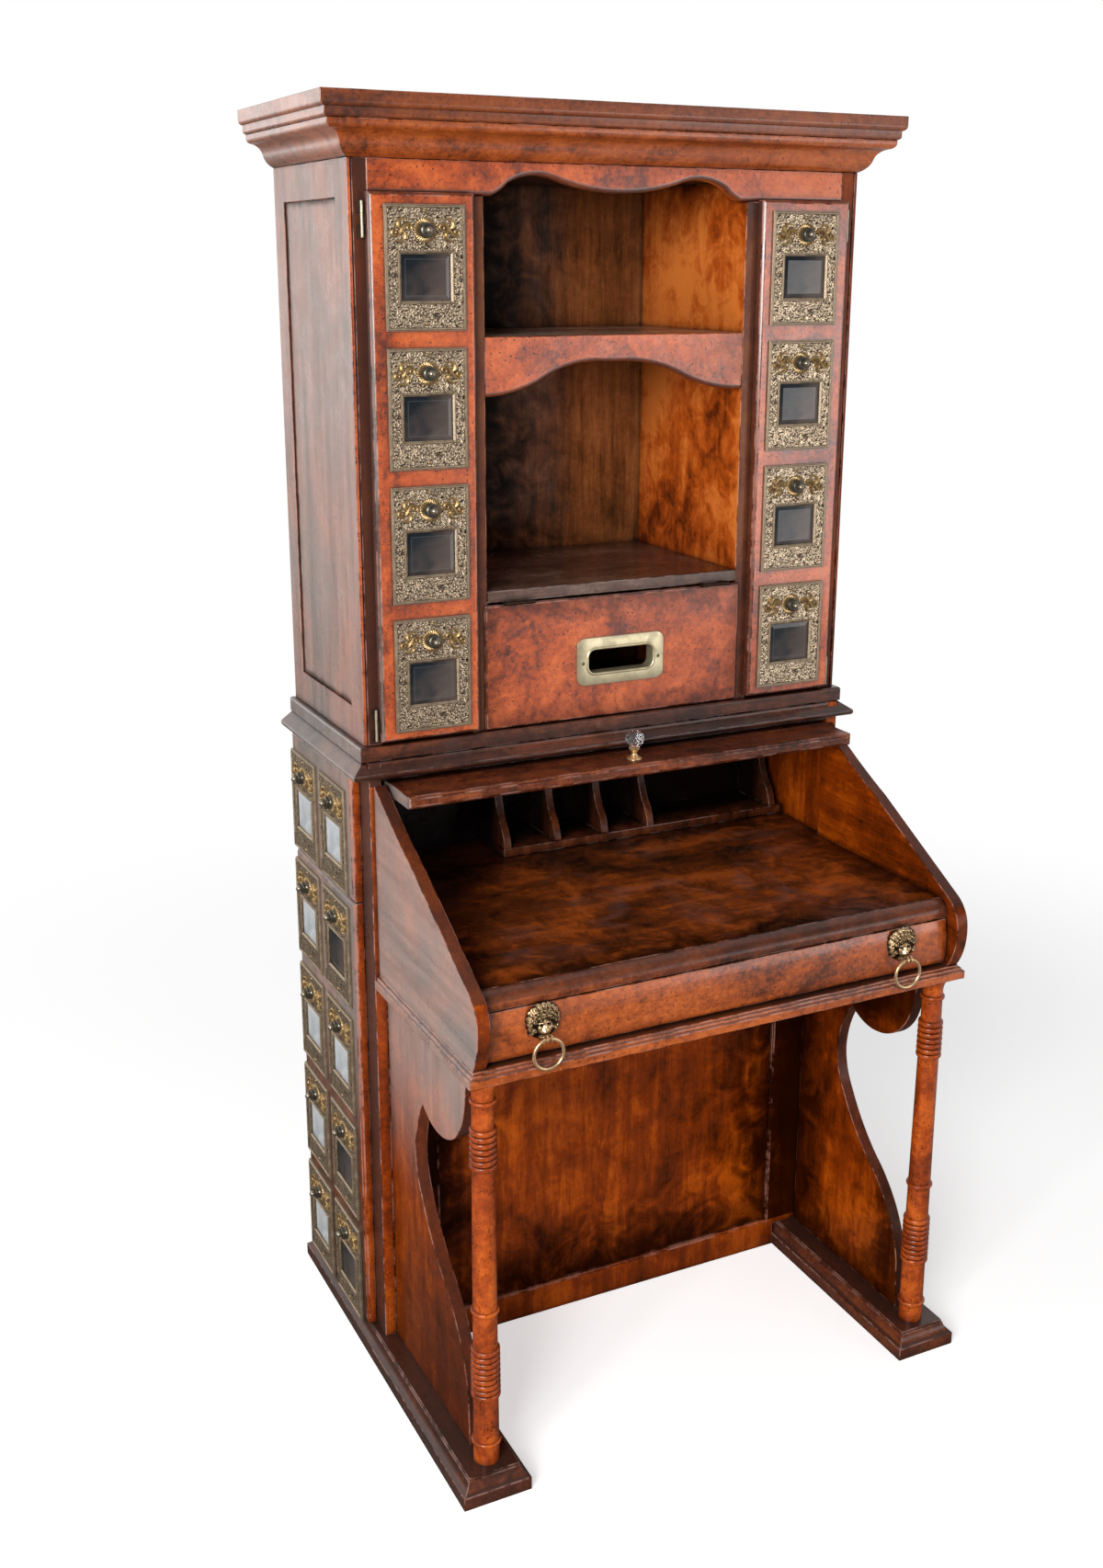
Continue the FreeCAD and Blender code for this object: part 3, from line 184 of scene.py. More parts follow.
class Finish:
    """A material, or the room's light, that is put together node by node."""

    made = {}

    def __init__(self, name, owner=None):
        self.owner = owner or bpy.data.materials.new(name)
        self.owner.use_nodes = True
        self.tree = self.owner.node_tree
        self.tree.nodes.clear()
        self.paint = None

    def node(self, kind, feeds=None, **settings):
        """Add a node, set it up, and feed its inputs with numbers or with values."""
        node = self.tree.nodes.new("ShaderNode" + kind)
        for key, setting in settings.items():
            setattr(node, key, setting)
        for key, feed in (feeds or {}).items():
            if isinstance(feed, Value):
                self.tree.links.new(feed.socket, node.inputs[key])
            else:
                node.inputs[key].default_value = feed
        return node

    def value(self, kind, feeds=None, output=0, **settings):
        """Add a node and give one of its outputs."""
        return Value(self, self.node(kind, feeds, **settings).outputs[output])

    def maths(self, operation, first, second=0.0, clamp=False):
        """A sum or comparison of two values."""
        return self.value("Math", {0: first, 1: second}, operation=operation, use_clamp=clamp)

    def most(self, first, second):
        """The larger of two values."""
        return self.maths("MAXIMUM", first, second)

    def mix(self, factor, first, second):
        """Mix two colours."""
        feeds = {0: factor}
        for place, tone in ((6, first), (7, second)):
            feeds[place] = tone if isinstance(tone, Value) else (*tone, 1)
        return self.value("Mix", feeds, 2, data_type="RGBA")

    def coat(self, factor, tone):
        """Lay a colour over the paint so far."""
        self.paint = self.mix(factor, self.paint, tone)

    def cloud(self, at, scale, detail=4.0, rough=0.5, twist=0.0):
        """Noise that goes from about 0.3 to 0.7."""
        return self.value("TexNoise", {"Vector": at, "Scale": scale, "Detail": detail,
                                       "Roughness": rough, "Distortion": twist})

    def stretched(self, at, scales):
        """Coordinates stretched along the three axes."""
        return self.value("Mapping", {"Vector": at, "Scale": scales})

    def object_place(self):
        """Place in the piece's own space."""
        return self.value("TexCoord", output="Object")

    def axis(self, at, letter):
        """One of the three coordinates of a place."""
        return self.value("SeparateXYZ", {0: at}, letter)

    def attribute(self, name):
        """A value stored on the mesh."""
        return self.value("Attribute", output="Fac", attribute_name=name)

    def rays(self, kind):
        """One for rays of a kind and nought for others."""
        return self.value("LightPath", output=f"Is {kind} Ray")

    def open_air(self, distance, samples=4):
        """One in the open and nought deep in a corner."""
        return self.value("AmbientOcclusion", {"Distance": distance}, "AO", samples=samples)

    def blend_of(self, *parts):
        """A value about one half, moved by each noise in the share that is given."""
        total = 0.5
        for value, share in parts:
            total = self.maths("ADD", total, (value - 0.5) * share)
        return total

    def specks(self, at, scale, size, rare, cluster):
        """Small round specks, closer together where the cluster value is high."""
        cells = self.node("TexVoronoi", {"Vector": at, "Scale": scale, "Randomness": 1.0})
        chance = self.value("SeparateColor", {0: Value(self, cells.outputs["Color"])})
        kept = (chance + cluster * 0.30).band(rare + 0.28, rare + 0.30)
        return kept * Value(self, cells.outputs["Distance"]).band(0.6 * size, size, 1.0, 0.0)

    def inside(self, at, field):
        """Distance from the nearest edge of an upright or flat field of a board."""
        gaps = []
        for letter, start, end in field:
            along = self.axis(at, letter)
            gaps += [along - start, end - along]
        least = gaps[0]
        for gap in gaps[1:]:
            least = self.maths("MINIMUM", least, gap)
        return least

    def bump(self, height, strength, distance, normal=None):
        """Relief from a height."""
        feeds = {"Height": height, "Strength": strength, "Distance": distance}
        if normal is not None:
            feeds["Normal"] = normal
        return self.value("Bump", feeds)

    def surface(self, **feeds):
        """End the material in a surface with these inputs, and with the paint so far."""
        feeds = {key.replace("_", " "): feed for key, feed in feeds.items()}
        feeds.setdefault("Base Color", self.paint)
        self.node("OutputMaterial", {"Surface": self.value("BsdfPrincipled", feeds)})
        return self.owner


def shaded(tone, share):
    """A colour made lighter or darker."""
    return tuple(v * share for v in tone)


GRAIN = {"X": (1.0, 12.0, 12.0), "Y": (12.0, 1.0, 12.0), "Z": (12.0, 12.0, 1.0)}

# How much clouds, mottling, fine mottling, streaks, specks, dust and gloss each wood has
WOOD_LOOKS = {
    "burl": (0.80, 0.80, 0.65, 0.20, 1.0, 0.0, 0.55),
    "cherry": (0.70, 0.70, 0.50, 0.30, 0.9, 0.0, 0.25),
    "glow": (1.00, 0.90, 0.30, 0.45, 0.2, 0.0, 0.08),
    "olive": (0.60, 0.35, 0.20, 0.70, 0.2, 0.0, 0.03),
    "brown": (0.55, 0.65, 0.60, 0.50, 0.8, 0.0, 0.45),
    "walnut": (0.60, 0.65, 0.50, 0.70, 0.3, 0.25, 0.17),
    "panel": (0.70, 0.40, 0.20, 0.60, 0.2, 0.0, 0.04),
    "top": (0.95, 0.75, 0.30, 0.45, 0.1, 1.0, 0.20),
    "shelf": (0.70, 0.60, 0.30, 0.80, 0.1, 1.0, 0.15),
    "dusty": (0.70, 0.60, 0.30, 0.60, 0.1, 1.0, 0.25),
    "well": (0.60, 0.40, 0.30, 0.80, 0.0, 0.3, 0.05),
    "dark": (0.80, 0.50, 0.35, 0.80, 0.3, 0.3, 0.25),
}
DUST, SCRATCH, CRUMB = chip(128, 106, 104), chip(120, 84, 62), chip(205, 196, 186)


def wood(kind, along="Z", field=None, deep=None):
    """Wood in stain and polish: clouds, grain, specks, painted shade in corners and worn edges.

    A field is the two axes and four edges of a panel, and how far and how much painted shade
    darkens it from its edges. A deep wood gets painted shade that turns it black between two places
    from front to back.
    """
    name = f"{kind}_wood_{along.lower()}"
    if field:
        name += "_field_" + "".join(str(round(abs(v) * 1000)) for v in field[0][1:])
    if deep:
        name += "_deep"
    if name in Finish.made:
        return Finish.made[name]
    tones = bpy.context.scene.desk_wood
    light, middle, dark = (tuple(getattr(tones, f"{kind}_{tone}")) for tone in TONES)
    clouds, mottles, fines, streaks, speck_share, dust_share, gloss = WOOD_LOOKS[kind]
    finish = Finish(name)
    at = finish.object_place()
    grain_at = finish.stretched(at, GRAIN[along])
    wide = finish.cloud(finish.stretched(at, tuple(0.7 + v / 24 for v in GRAIN[along])),
                        5.5, 3, 0.5, 0.7)
    mottle = finish.cloud(at, 19, 5, 0.6, 1.0)
    fine = finish.cloud(at, 130, 4, 0.62, 0.4)
    streak = finish.cloud(grain_at, 3.4, 6, 0.66, 0.3)
    fibre = finish.cloud(grain_at, 36, 3, 0.6, 0.2)
    tone = finish.blend_of((wide, clouds), (mottle, mottles), (fine, fines), (streak, streaks),
                           (fibre, 0.4 * streaks))
    ramp = finish.node("ValToRGB", {0: tone})
    stops = ramp.color_ramp.elements
    stops[0].position, stops[0].color = 0.27, (*dark, 1)
    stops[1].position, stops[1].color = 0.70, (*light, 1)
    stops.new(0.50).color = (*middle, 1)
    finish.paint = Value(finish, ramp.outputs[0])
    cluster = finish.cloud(at, 9, 3, 0.6, 0.5).band(0.40, 0.62)
    vein = abs(finish.cloud(at, 46, 5, 0.7, 1.6) - 0.5)
    finish.coat(vein.band(0.0, 0.022, 0.38 * speck_share, 0.0) * cluster, dark)
    dots = finish.most(finish.specks(at, 130, 0.22, 0.52, cluster),
                       finish.specks(at, 240, 0.28, 0.54, cluster))
    dots = finish.most(dots, finish.specks(at, 150, 0.18, 0.62, 0.0))
    finish.coat(dots * (0.95 * speck_share), shaded(dark, 0.10))
    # Painted shade: the wood turns black towards the back of the pigeonholes and the well.
    if deep:
        finish.coat(finish.axis(at, "Y").band(*deep, 0.0, 0.97), shaded(dark, 0.12))
    if dust_share:
        film = finish.cloud(at, 6.5, 5, 0.6, 1.2)
        finish.coat(film.band(0.50, 0.72, 0.0, 0.30 * dust_share), DUST)
        scratch = finish.cloud(finish.stretched(at, (0.5, 14.0, 14.0)), 24, 2, 0.5, 0.9)
        finish.coat(scratch.band(0.70, 0.74, 0.0, 0.4 * dust_share), SCRATCH)
        finish.coat(finish.specks(at, 210, 0.17, 0.955, 0.0) * (0.8 * dust_share), CRUMB)
    faded = finish.attribute("faded")
    height = finish.axis(at, "Z")
    # Painted reflection: a pale sheen on faces that look left, only higher up.
    painted_sheen = faded * height.band(0.32, 0.64, 0.0, 0.58)
    finish.coat(painted_sheen * streak.band(0.30, 0.66, 0.72, 1.0), tones.faded)
    # Painted shade: faces that look left turn darker towards the floor.
    finish.coat(faded * height.band(0.08, 0.46, 0.62, 0.0), shaded(dark, 0.5))
    sheen = 0.12 + 0.8 * gloss
    # Painted shade: a field turns darker and less glossy towards its edges.
    if field:
        reach, share = field[2:]
        ragged = finish.inside(at, field[:2]) + (mottle - 0.5) * (1.4 * reach)
        axis, foot = field[1][:2]
        above = finish.maths("GREATER_THAN", finish.axis(at, axis), foot)
        facing = finish.axis(finish.value("TexCoord", output="Normal"), "Y")
        shade = ragged.band(-0.1 * reach, reach, share, 0.0) * above
        shade = shade * finish.maths("LESS_THAN", facing, 0.5)
        sheen = (1.0 - shade) * sheen
        finish.coat(shade, shaded(dark, 0.14))
    # Painted shade: darker where the board is hemmed in by other parts, broadly and in narrow
    # creases.
    finish.coat(finish.open_air(0.13).band(0.15, 0.95, 0.50, 0.0), shaded(dark, 0.35))
    finish.coat(finish.open_air(0.010).band(0.40, 0.95, 0.85, 0.0), shaded(dark, 0.10))
    # Old stain from the mesh, with painted shadow on the left case side.
    finish.coat(finish.attribute("stained"), shaded(tones.lip, 0.6))
    lip = finish.attribute("lip")
    finish.coat(lip * streak.band(0.30, 0.62, 0.95, 0.70), tones.lip)
    edge = finish.attribute("edge")
    scuff = finish.cloud(at, 26, 4, 0.7)
    finish.coat(edge * scuff.band(0.40, 0.52, 0.60, 0.0), shaded(dark, 0.30))
    finish.coat(edge * scuff.band(0.44, 0.60, 0.0, 0.72), tuple(0.50 * v + 0.13 for v in light))
    relief = finish.bump(fibre, 0.08, 0.0005)
    relief = finish.bump(mottle, 0.03, 0.003, relief)
    relief = finish.bump(1.0 - dots, 0.3, 0.0004, relief)
    polish = finish.most(finish.attribute("polish"), finish.most(lip * 0.9, gloss))
    Finish.made[name] = finish.surface(Roughness=scuff.band(0.3, 0.7, 0.24, 0.40), Normal=relief,
                                       Specular_IOR_Level=sheen, Coat_Roughness=0.16,
                                       Coat_Weight=polish)
    return Finish.made[name]


@cache
def inner_wood():
    """Plain wood in stain, for the hidden boards."""
    finish = Finish("inner_wood")
    tones = bpy.context.scene.desk_wood
    grain = finish.cloud(finish.stretched(finish.object_place(), GRAIN["Z"]), 6, 5, 0.6, 0.4)
    finish.paint = finish.mix(grain.band(0.35, 0.65), tones.well_dark, tones.well_mid)
    return finish.surface(Roughness=0.6, Normal=finish.bump(grain, 0.15, 0.001))


@cache
def worn_metal(name, high, low, rough=0.34, hollow_size=0.004, relief=False):
    """Metal that is dark in its recesses and rubbed bright on its high places.

    With relief, the mesh says how high each place stands.
    """
    finish = Finish(name)
    at = finish.object_place()
    tarnish = finish.cloud(at, 70, 5, 0.6, 0.4)
    fine = finish.cloud(at, 620, 3, 0.6)
    clean = finish.open_air(hollow_size, 6).band(0.35, 0.95)
    if relief:
        rubbed = clean * finish.attribute("raised").band(0.15, 0.72)
    else:
        ridge = finish.value("NewGeometry", output="Pointiness").band(0.49, 0.56)
        rubbed = finish.maths("MAXIMUM", clean * tarnish.band(0.30, 0.62, 0.45, 1.0),
                              ridge * 0.8, True)
    finish.paint = finish.mix(rubbed, low, high)
    finish.coat(fine.band(0.40, 0.56, 0.35, 0.0), shaded(low, 0.5))
    return finish.surface(Metallic=0.82, Normal=finish.bump(fine, 0.12, 0.0002),
                          Roughness=tarnish.band(0.3, 0.7, rough - 0.06, rough + 0.12))


@cache
def pebbled_brass():
    """Ground of the letter fronts: bright pebbles with dark brown between them."""
    metal = bpy.context.scene.desk_metal
    finish = Finish("pebbled_brass")
    at = finish.object_place()
    tarnish = finish.cloud(at, 46, 4, 0.6, 0.4)
    fine = finish.cloud(at, 900, 3, 0.6)
    bright = (finish.attribute("raised") + fine * 0.5).band(0.42, 1.16)
    bright = bright * tarnish.band(0.3, 0.66, 0.66, 1.0)
    finish.paint = finish.mix(bright, shaded(metal.brass_dark, 1.1), metal.brass_light)
    return finish.surface(Metallic=0.8, Roughness=bright.band(0, 1, 0.50, 0.24),
                          Normal=finish.bump(fine, 0.2, 0.0003))


@cache
def smooth_metal(name, tone, rough):
    """Satin metal with faint tarnish."""
    finish = Finish(name)
    at = finish.object_place()
    tarnish = finish.cloud(at, 38, 5, 0.6, 0.5)
    fine = finish.cloud(at, 500, 3, 0.5)
    finish.paint = finish.mix(tarnish.band(0.40, 0.68, 0.0, 0.55), tone, shaded(tone, 0.55))
    return finish.surface(Metallic=0.85, Roughness=tarnish.band(0.3, 0.7, rough, rough + 0.14),
                          Normal=finish.bump(fine, 0.08, 0.0002))


def dark_pane():
    """Window glass before a dark compartment, with painted reflections on it."""
    finish = Finish("dark_pane_glass")
    at = finish.object_place()
    haze = finish.cloud(at, 26, 3, 0.5, 0.8)
    # Painted reflection: the glass turns lighter towards its lower right.
    across = finish.axis(at, "X") - finish.axis(at, "Z") * 0.6 + (haze - 0.5) * 0.10
    finish.paint = finish.mix(across.band(-0.085, 0.005), chip(24, 30, 36), chip(88, 76, 70))
    # Painted highlight: a faint pale line along the inner edge of the bevel.
    rim = finish.inside(at, (("X", -0.0305, 0.0305), ("Z", 0.0475, 0.0965)))
    finish.coat(abs(rim).band(0.0003, 0.0009, 0.10, 0.0), chip(150, 158, 162))
    smear = finish.cloud(at, 60, 4, 0.6)
    return finish.surface(Roughness=smear.band(0.35, 0.7, 0.04, 0.16), IOR=1.42)


def pale_pane():
    """Window glass that is pale grey all over."""
    finish = Finish("pale_pane_glass")
    haze = finish.cloud(finish.object_place(), 22, 3, 0.5, 0.8)
    finish.paint = finish.mix(haze.band(0.35, 0.65), chip(196, 202, 206), chip(226, 230, 232))
    return finish.surface(Roughness=0.12, Coat_Weight=0.6, Coat_Roughness=0.02)


def cut_glass():
    """Clear glass of the lid knob."""
    finish = Finish("cut_glass")
    dust = finish.cloud(finish.object_place(), 90, 3, 0.6)
    return finish.surface(Base_Color=(*chip(246, 248, 250), 1), IOR=1.52,
                          Roughness=dust.band(0.4, 0.7, 0.0, 0.06), Transmission_Weight=1.0)


# Meshes

FORWARD = Vector((0, -1, 0))


def round_about(count):
    """Angles of equal steps round a circle."""
    return [2 * math.pi * step / count for step in range(count)]


class Shape:
    """Points and faces of one piece, gathered before its mesh is made."""

    def __init__(self):
        self.points = []
        self.faces = []
        self.marks = []
        self.raised = []

    def face(self, corners, mark=0):
        """Add a face, marked with the number of its material."""
        self.faces.append(tuple(corners))
        self.marks.append(mark)

    def loft(self, loops, mark=0, joined=False):
        """Join loops of as many points each; cap the first and last, or join them too."""
        start, count, size = len(self.points), len(loops), len(loops[0])
        for loop in loops:
            self.points += [Vector(spot) for spot in loop]
        for row in range(count if joined else count - 1):
            here = start + row * size
            ahead = start + (row + 1) % count * size
            for index in range(size):
                after = (index + 1) % size
                self.face((here + index, here + after, ahead + after, ahead + index), mark)
        if not joined:
            self.face(reversed(range(start, start + size)), mark)
            self.face(range(len(self.points) - size, len(self.points)), mark)

    def turn(self, profile, centre, axis="Z", steps=32, mark=0, ripple=None):
        """Turn (radius, height) points about an axis; a ripple adds height as it goes round."""
        loops = []
        for radius, height in profile:
            loop = []
            for angle in round_about(steps):
                rise = height + ripple(radius, angle) if ripple else height
                u, v = radius * math.cos(angle), radius * math.sin(angle)
                loop.append(Vector(centre) + Vector((u, v, rise) if axis == "Z" else (u, -rise, v)))
            loops.append(loop)
        self.loft(loops, mark)

    def tube(self, path, radii, mark=0, sides=10, joined=False, flat=1.0):
        """A round or flattened rod along a path that lies in an upright plane facing forward."""
        loops = []
        for index, spot in enumerate(path):
            before = path[index - 1] if index or joined else spot
            after = path[(index + 1) % len(path)] if index < len(path) - 1 or joined else spot
            side = (after - before).normalized().cross(FORWARD).normalized()
            radius = radii[index] if isinstance(radii, list) else radii
            loops.append([spot + side * radius * math.cos(angle)
                          + FORWARD * radius * flat * math.sin(angle)
                          for angle in round_about(sides)])
        self.loft(loops, mark, joined)

    def mesh(self, name, materials, sharp=38.0):
        """Make the mesh, with faces turned outwards and edges sharp above an angle."""
        mesh = bpy.data.meshes.new(name)
        mesh.from_pydata(self.points, [], self.faces)
        for face, mark in zip(mesh.polygons, self.marks):
            face.material_index = mark
            face.use_smooth = True
        if self.raised:
            values = self.raised + [1.0] * (len(self.points) - len(self.raised))
            mesh.attributes.new("raised", "FLOAT", "POINT").data.foreach_set("value", values)
        build = bmesh.new()
        build.from_mesh(mesh)
        bmesh.ops.recalc_face_normals(build, faces=build.faces)
        build.to_mesh(mesh)
        build.free()
        mesh.set_sharp_from_angle(angle=math.radians(sharp))
        for material in materials:
            mesh.materials.append(material)
        return mesh

    def settle(self, name, materials, node, sharp=38.0):
        """Make the mesh and put it in place of a CAD node."""
        return settle(name, self.mesh(name, materials, sharp), node)


def settle(name, mesh, node, place=None):
    """Put a piece in place of a CAD node and let it ride on its body."""
    piece = bpy.data.objects.new(name, mesh)
    bpy.context.scene.collection.objects.link(piece)
    if place is not None:
        piece.matrix_world = place
    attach(piece, BODY_OF[node])
    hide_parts(node)
    return piece


FACE_MARKS = ("edge", "faded", "stained", "lip", "polish")
ROUND_LIP = 0.0065
SHELF_LINE = 0.985
LEFT_SIDE = -0.38
# How much more painted sheen the left door lips take, and how much less the cornice.
DOOR_LIP_SHEEN, CORNICE_SHEEN = 2.6, 0.72

# Boards whose front shows a brighter wood, up to a place from left to right
BRIGHT_FRONTS = {"left_cabinet_side": ("burl", -0.4138), "side_door": ("cherry", 1.0),
                 "upper_side_panel": ("cherry", 1.0)}


def stain_of(node, normal, centre):
    """How far a face of a board is darkened by old stain, and the left case side by painted shadow.
    """
    if node in ("partitions", "left_cabinet_side", "right_cabinet_side") and normal.y < -0.7:
        return {"partitions": 0.80, "left_cabinet_side": 0.85, "right_cabinet_side": 0.4}[node]
    if node in ("cornice_top", "cornice_moulding") and normal.y < -0.3:
        return 0.55 if node == "cornice_top" else 0.16
    if node == "knee_frame" and centre.z < 0.053:
        return 0.30
    # Painted shadow: the case side's left face, in the shadow of the side door, and its part above
    # the shelf line turn nearly black.
    if node == "left_case_side" and (normal.x < -0.7 or centre.z > SHELF_LINE):
        return 0.92
    if node in ("left_door", "right_door", "mail_flap") and normal.y > -0.3:
        return 0.75
    if node in ("left_bracket", "right_bracket") and abs(normal.x) < 0.5:
        return 0.65
    if node in ("left_gable", "right_gable") and abs(normal.x) < 0.5:
        return 0.70 if centre.z > 0.785 else 0.12
    if node in ("base_board", "front_rail"):
        return 0.55 if normal.z > 0.35 else 0.05
    if node in ("left_foot", "right_foot"):
        return 0.85 if normal.z > 0.7 else 0.45
    return 0.0


def bevel(build, edges, width, segments, profile):
    """Round some edges of a board; gives the faces of the rounding."""
    made = bmesh.ops.bevel(build, geom=edges, offset=width, segments=segments, profile=profile,
                           affect="EDGES", clamp_overlap=True)
    build.normal_update()
    return made["faces"]


def outer_edges(build, least=-1.0):
    """Edges that stand out from a board and bend more than an angle."""
    return [edge for edge in build.edges if edge.is_manifold and edge.is_convex
            and edge.calc_face_angle() > math.radians(least)]


def lip_edges(node, edges, low, high):
    """Front edges of a board that carry a dark lip: all round, or along a shaped lower edge."""
    shaped = LIPS[node] == "round"
    sides = [(0, low), (0, high), (2, high)] + ([] if shaped else [(2, low)])
    chosen = []
    for edge in edges:
        spots = [vert.co for vert in edge.verts]
        at_side = any(all(abs(spot[axis] - end[axis]) < 0.0001 for spot in spots)
                      for axis, end in sides)
        if all(abs(spot.y - low.y) <= 0.00005 for spot in spots) and at_side != shaped:
            chosen.append(edge)
    return chosen


def soften(node, material, width=None, least=28.0):
    """A board's own shape with its outer edges rounded, and the rounding marked for wear."""
    width = bpy.context.scene.desk_wood.edge_round if width is None else width
    build = bmesh.new()
    build.from_mesh(frame["nodes"][node].data)
    bmesh.ops.remove_doubles(build, verts=build.verts, dist=0.00002)
    bmesh.ops.dissolve_limit(build, angle_limit=math.radians(0.4), verts=build.verts,
                             edges=build.edges)
    rim, painted_sheen, stain, lip, polish = (build.faces.layers.float.new(mark) for mark in FACE_MARKS)
    low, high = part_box(node)
    if node in LIPS:
        chosen = lip_edges(node, outer_edges(build), low, high)
        if LIPS[node] == "round":
            slopes = bevel(build, chosen, ROUND_LIP, 4, 0.5)
        else:
            bevel(build, chosen, LIPS[node], 1, 0.5)
            slopes = [face for face in build.faces if -0.9 < face.normal.y < -0.5]
            for vert in {vert for face in slopes for vert in face.verts}:
                if vert.co.y > low.y + 0.0001:
                    vert.co.y = low.y + 0.6 * LIPS[node]
        for face in slopes:
            face[lip] = 1.0
    if node == "left_case_side":
        bmesh.ops.bisect_plane(build, geom=build.verts[:] + build.edges[:] + build.faces[:],
                               dist=0.00001, plane_co=(0, 0, SHELF_LINE), plane_no=(0, 0, 1))
    build.normal_update()
    for face in bevel(build, outer_edges(build, least), width, 2, 0.6):
        face[rim] = 1.0
    for face in build.faces:
        face.smooth = True
        centre = face.calc_center_median()
        # Painted sheen and shade on faces that look left; the door lips take more of it, the
        # cornice less.
        if centre.x < LEFT_SIDE:
            face[painted_sheen] = max(0.0, -face.normal.x)
            if face[lip] and node in LIPS:
                face[painted_sheen] *= DOOR_LIP_SHEEN
            if node.startswith("cornice"):
                face[painted_sheen] *= CORNICE_SHEEN
        # Old stain, and painted shadow on the left case side.
        face[stain] = stain_of(node, face.normal, centre)
        face[polish] = float(node == "right_door")
        if node in BRIGHT_FRONTS and face.normal.y < -0.4 and centre.x < BRIGHT_FRONTS[node][1]:
            face.material_index = 1
            face[stain] = 0.0
        # The sunk panel's face takes a wood with painted shade along its groove.
        if node in SUNK and face.normal.x < -0.9 and -0.4175 < centre.x < -0.4155:
            face.material_index = 2
    mesh = bpy.data.meshes.new(node + "_softened")
    build.to_mesh(mesh)
    build.free()
    mesh.set_sharp_from_angle(angle=math.radians(50))
    mesh.materials.append(material)
    if node in BRIGHT_FRONTS:
        mesh.materials.append(wood(BRIGHT_FRONTS[node][0]))
    if node in SUNK:
        mesh.materials.append(wood("panel", "Z", SUNK[node]))
    piece = settle(node + "_board", mesh, node)
    piece.modifiers.new("Even shading", "WEIGHTED_NORMAL").keep_sharp = True
    return piece


def repaint(node, material):
    """Give a CAD node that stays a finish of its own."""
    mesh = frame["nodes"][node].data
    mesh.materials.clear()
    mesh.materials.append(material)


# Boards

CABINET_BOARDS = (
    ("cornice_top", "brown", "X"), ("cornice_moulding", "brown", "X"), ("top_rail", "burl", "X"),
    ("shelf_apron", "burl", "X"), ("right_door", "burl", "Z"), ("left_door", "burl", "Z"),
    ("mail_flap", "burl", "X"), ("right_cabinet_side", "panel", "Z"),
    ("left_cabinet_side", "panel", "Z"), ("cabinet_back", "olive", "Z"),
    ("partitions", "glow", "Z"), ("upper_shelf", "shelf", "X"), ("lower_shelf", "dusty", "X"),
)
BOX_BOARDS = (
    ("waist_board", "dark", "X"), ("waist_moulding", "dark", "X"), ("lid", "walnut", "X"),
    ("right_gable", "panel", "Y"), ("left_gable", "panel", "Y"),
    ("writing_surface", "top", "X"), ("front_rail", "walnut", "X"), ("drawer_front", "brown", "X"),
    ("base_board", "brown", "X"), ("pigeonholes", "well", "Z"), ("well_back", "well", "Z"),
)
BASE_BOARDS = (
    ("right_foot", "walnut", "Y"), ("left_foot", "walnut", "Y"), ("right_bracket", "panel", "Z"),
    ("left_bracket", "panel", "Z"), ("knee_frame", "panel", "Z"),
    ("left_case_side", "cherry", "Z"), ("right_case_side", "panel", "Z"),
    ("upper_side_panel", "walnut", "Z"), ("side_door", "walnut", "Z"),
)
LIPS = {"left_door": 0.0068, "right_door": 0.0068, "mail_flap": 0.0045, "top_rail": "round",
        "shelf_apron": "round"}
# Panels with painted shade towards their edges: two axes with their edges, how far the shade
# reaches and how dark it gets. The cabinet's back is shaded on its left, the apron towards its
# right end.
FIELDS = {
    "knee_frame": (("X", -0.318, 0.318), ("Z", 0.053, 0.640), 0.145, 0.92),
    "writing_surface": (("X", -0.392, 0.392), ("Y", -0.314, 0.140), 0.090, 0.80),
    "shelf_apron": (("X", -9.0, 0.236), ("Z", -9.0, 9.0), 0.17, 0.42),
    "mail_flap": (("X", -0.224, 0.224), ("Z", 1.046, 1.2395), 0.045, 0.60),
    "cabinet_back": (("X", -0.07, 0.90), ("Z", 0.80, 2.30), 0.17, 0.99),
    "right_bracket": (("Y", -0.262, 0.006), ("Z", 0.042, 0.560), 0.120, 0.85),
}
# Painted shade in the groove round the sunk panel of the left cabinet side: two axes with their
# edges, how far the dark band reaches and how dark it gets.
SUNK = {"left_cabinet_side": (("Y", -9.0, 0.317), ("Z", 1.096, 1.8185), 0.012, 0.82)}
# Painted shade deep inside: from where to where, front to back, the wood turns black.
DEEP_SHADE = {"pigeonholes": (0.145, 0.200), "well_back": (0.10, 0.20)}
HIDDEN_BOARDS = (
    "lid_runners", "drawer_runners", "case_back", "case_floor", "cabinet_shelves",
    "cabinet_top_board", "compartment_shelves", "drawer_box",
)


def dress(boards):
    """Round and stain the boards of a list."""
    for node, kind, along in boards:
        soften(node, wood(kind, along, FIELDS.get(node), DEEP_SHADE.get(node)))
    return {"FINISHED"}


class DeskCabinetBoards(bpy.types.Operator):
    """Round and stain the boards of the letter cabinet"""

    bl_idname = "desk.cabinet_boards"
    bl_label = "Letter cabinet boards"

    def execute(self, context):
        return dress(CABINET_BOARDS)


class DeskBoxBoards(bpy.types.Operator):
    """Round and stain the boards of the writing box"""

    bl_idname = "desk.box_boards"
    bl_label = "Writing box boards"

    def execute(self, context):
        return dress(BOX_BOARDS)


class DeskBaseBoards(bpy.types.Operator):
    """Round and stain the boards of the base"""

    bl_idname = "desk.base_boards"
    bl_label = "Base boards"

    def execute(self, context):
        return dress(BASE_BOARDS)


class DeskHiddenBoards(bpy.types.Operator):
    """Stain the boards that are hidden inside"""

    bl_idname = "desk.hidden_boards"
    bl_label = "Hidden boards"

    def execute(self, context):
        for node in HIDDEN_BOARDS:
            repaint(node, inner_wood())
        return {"FINISHED"}


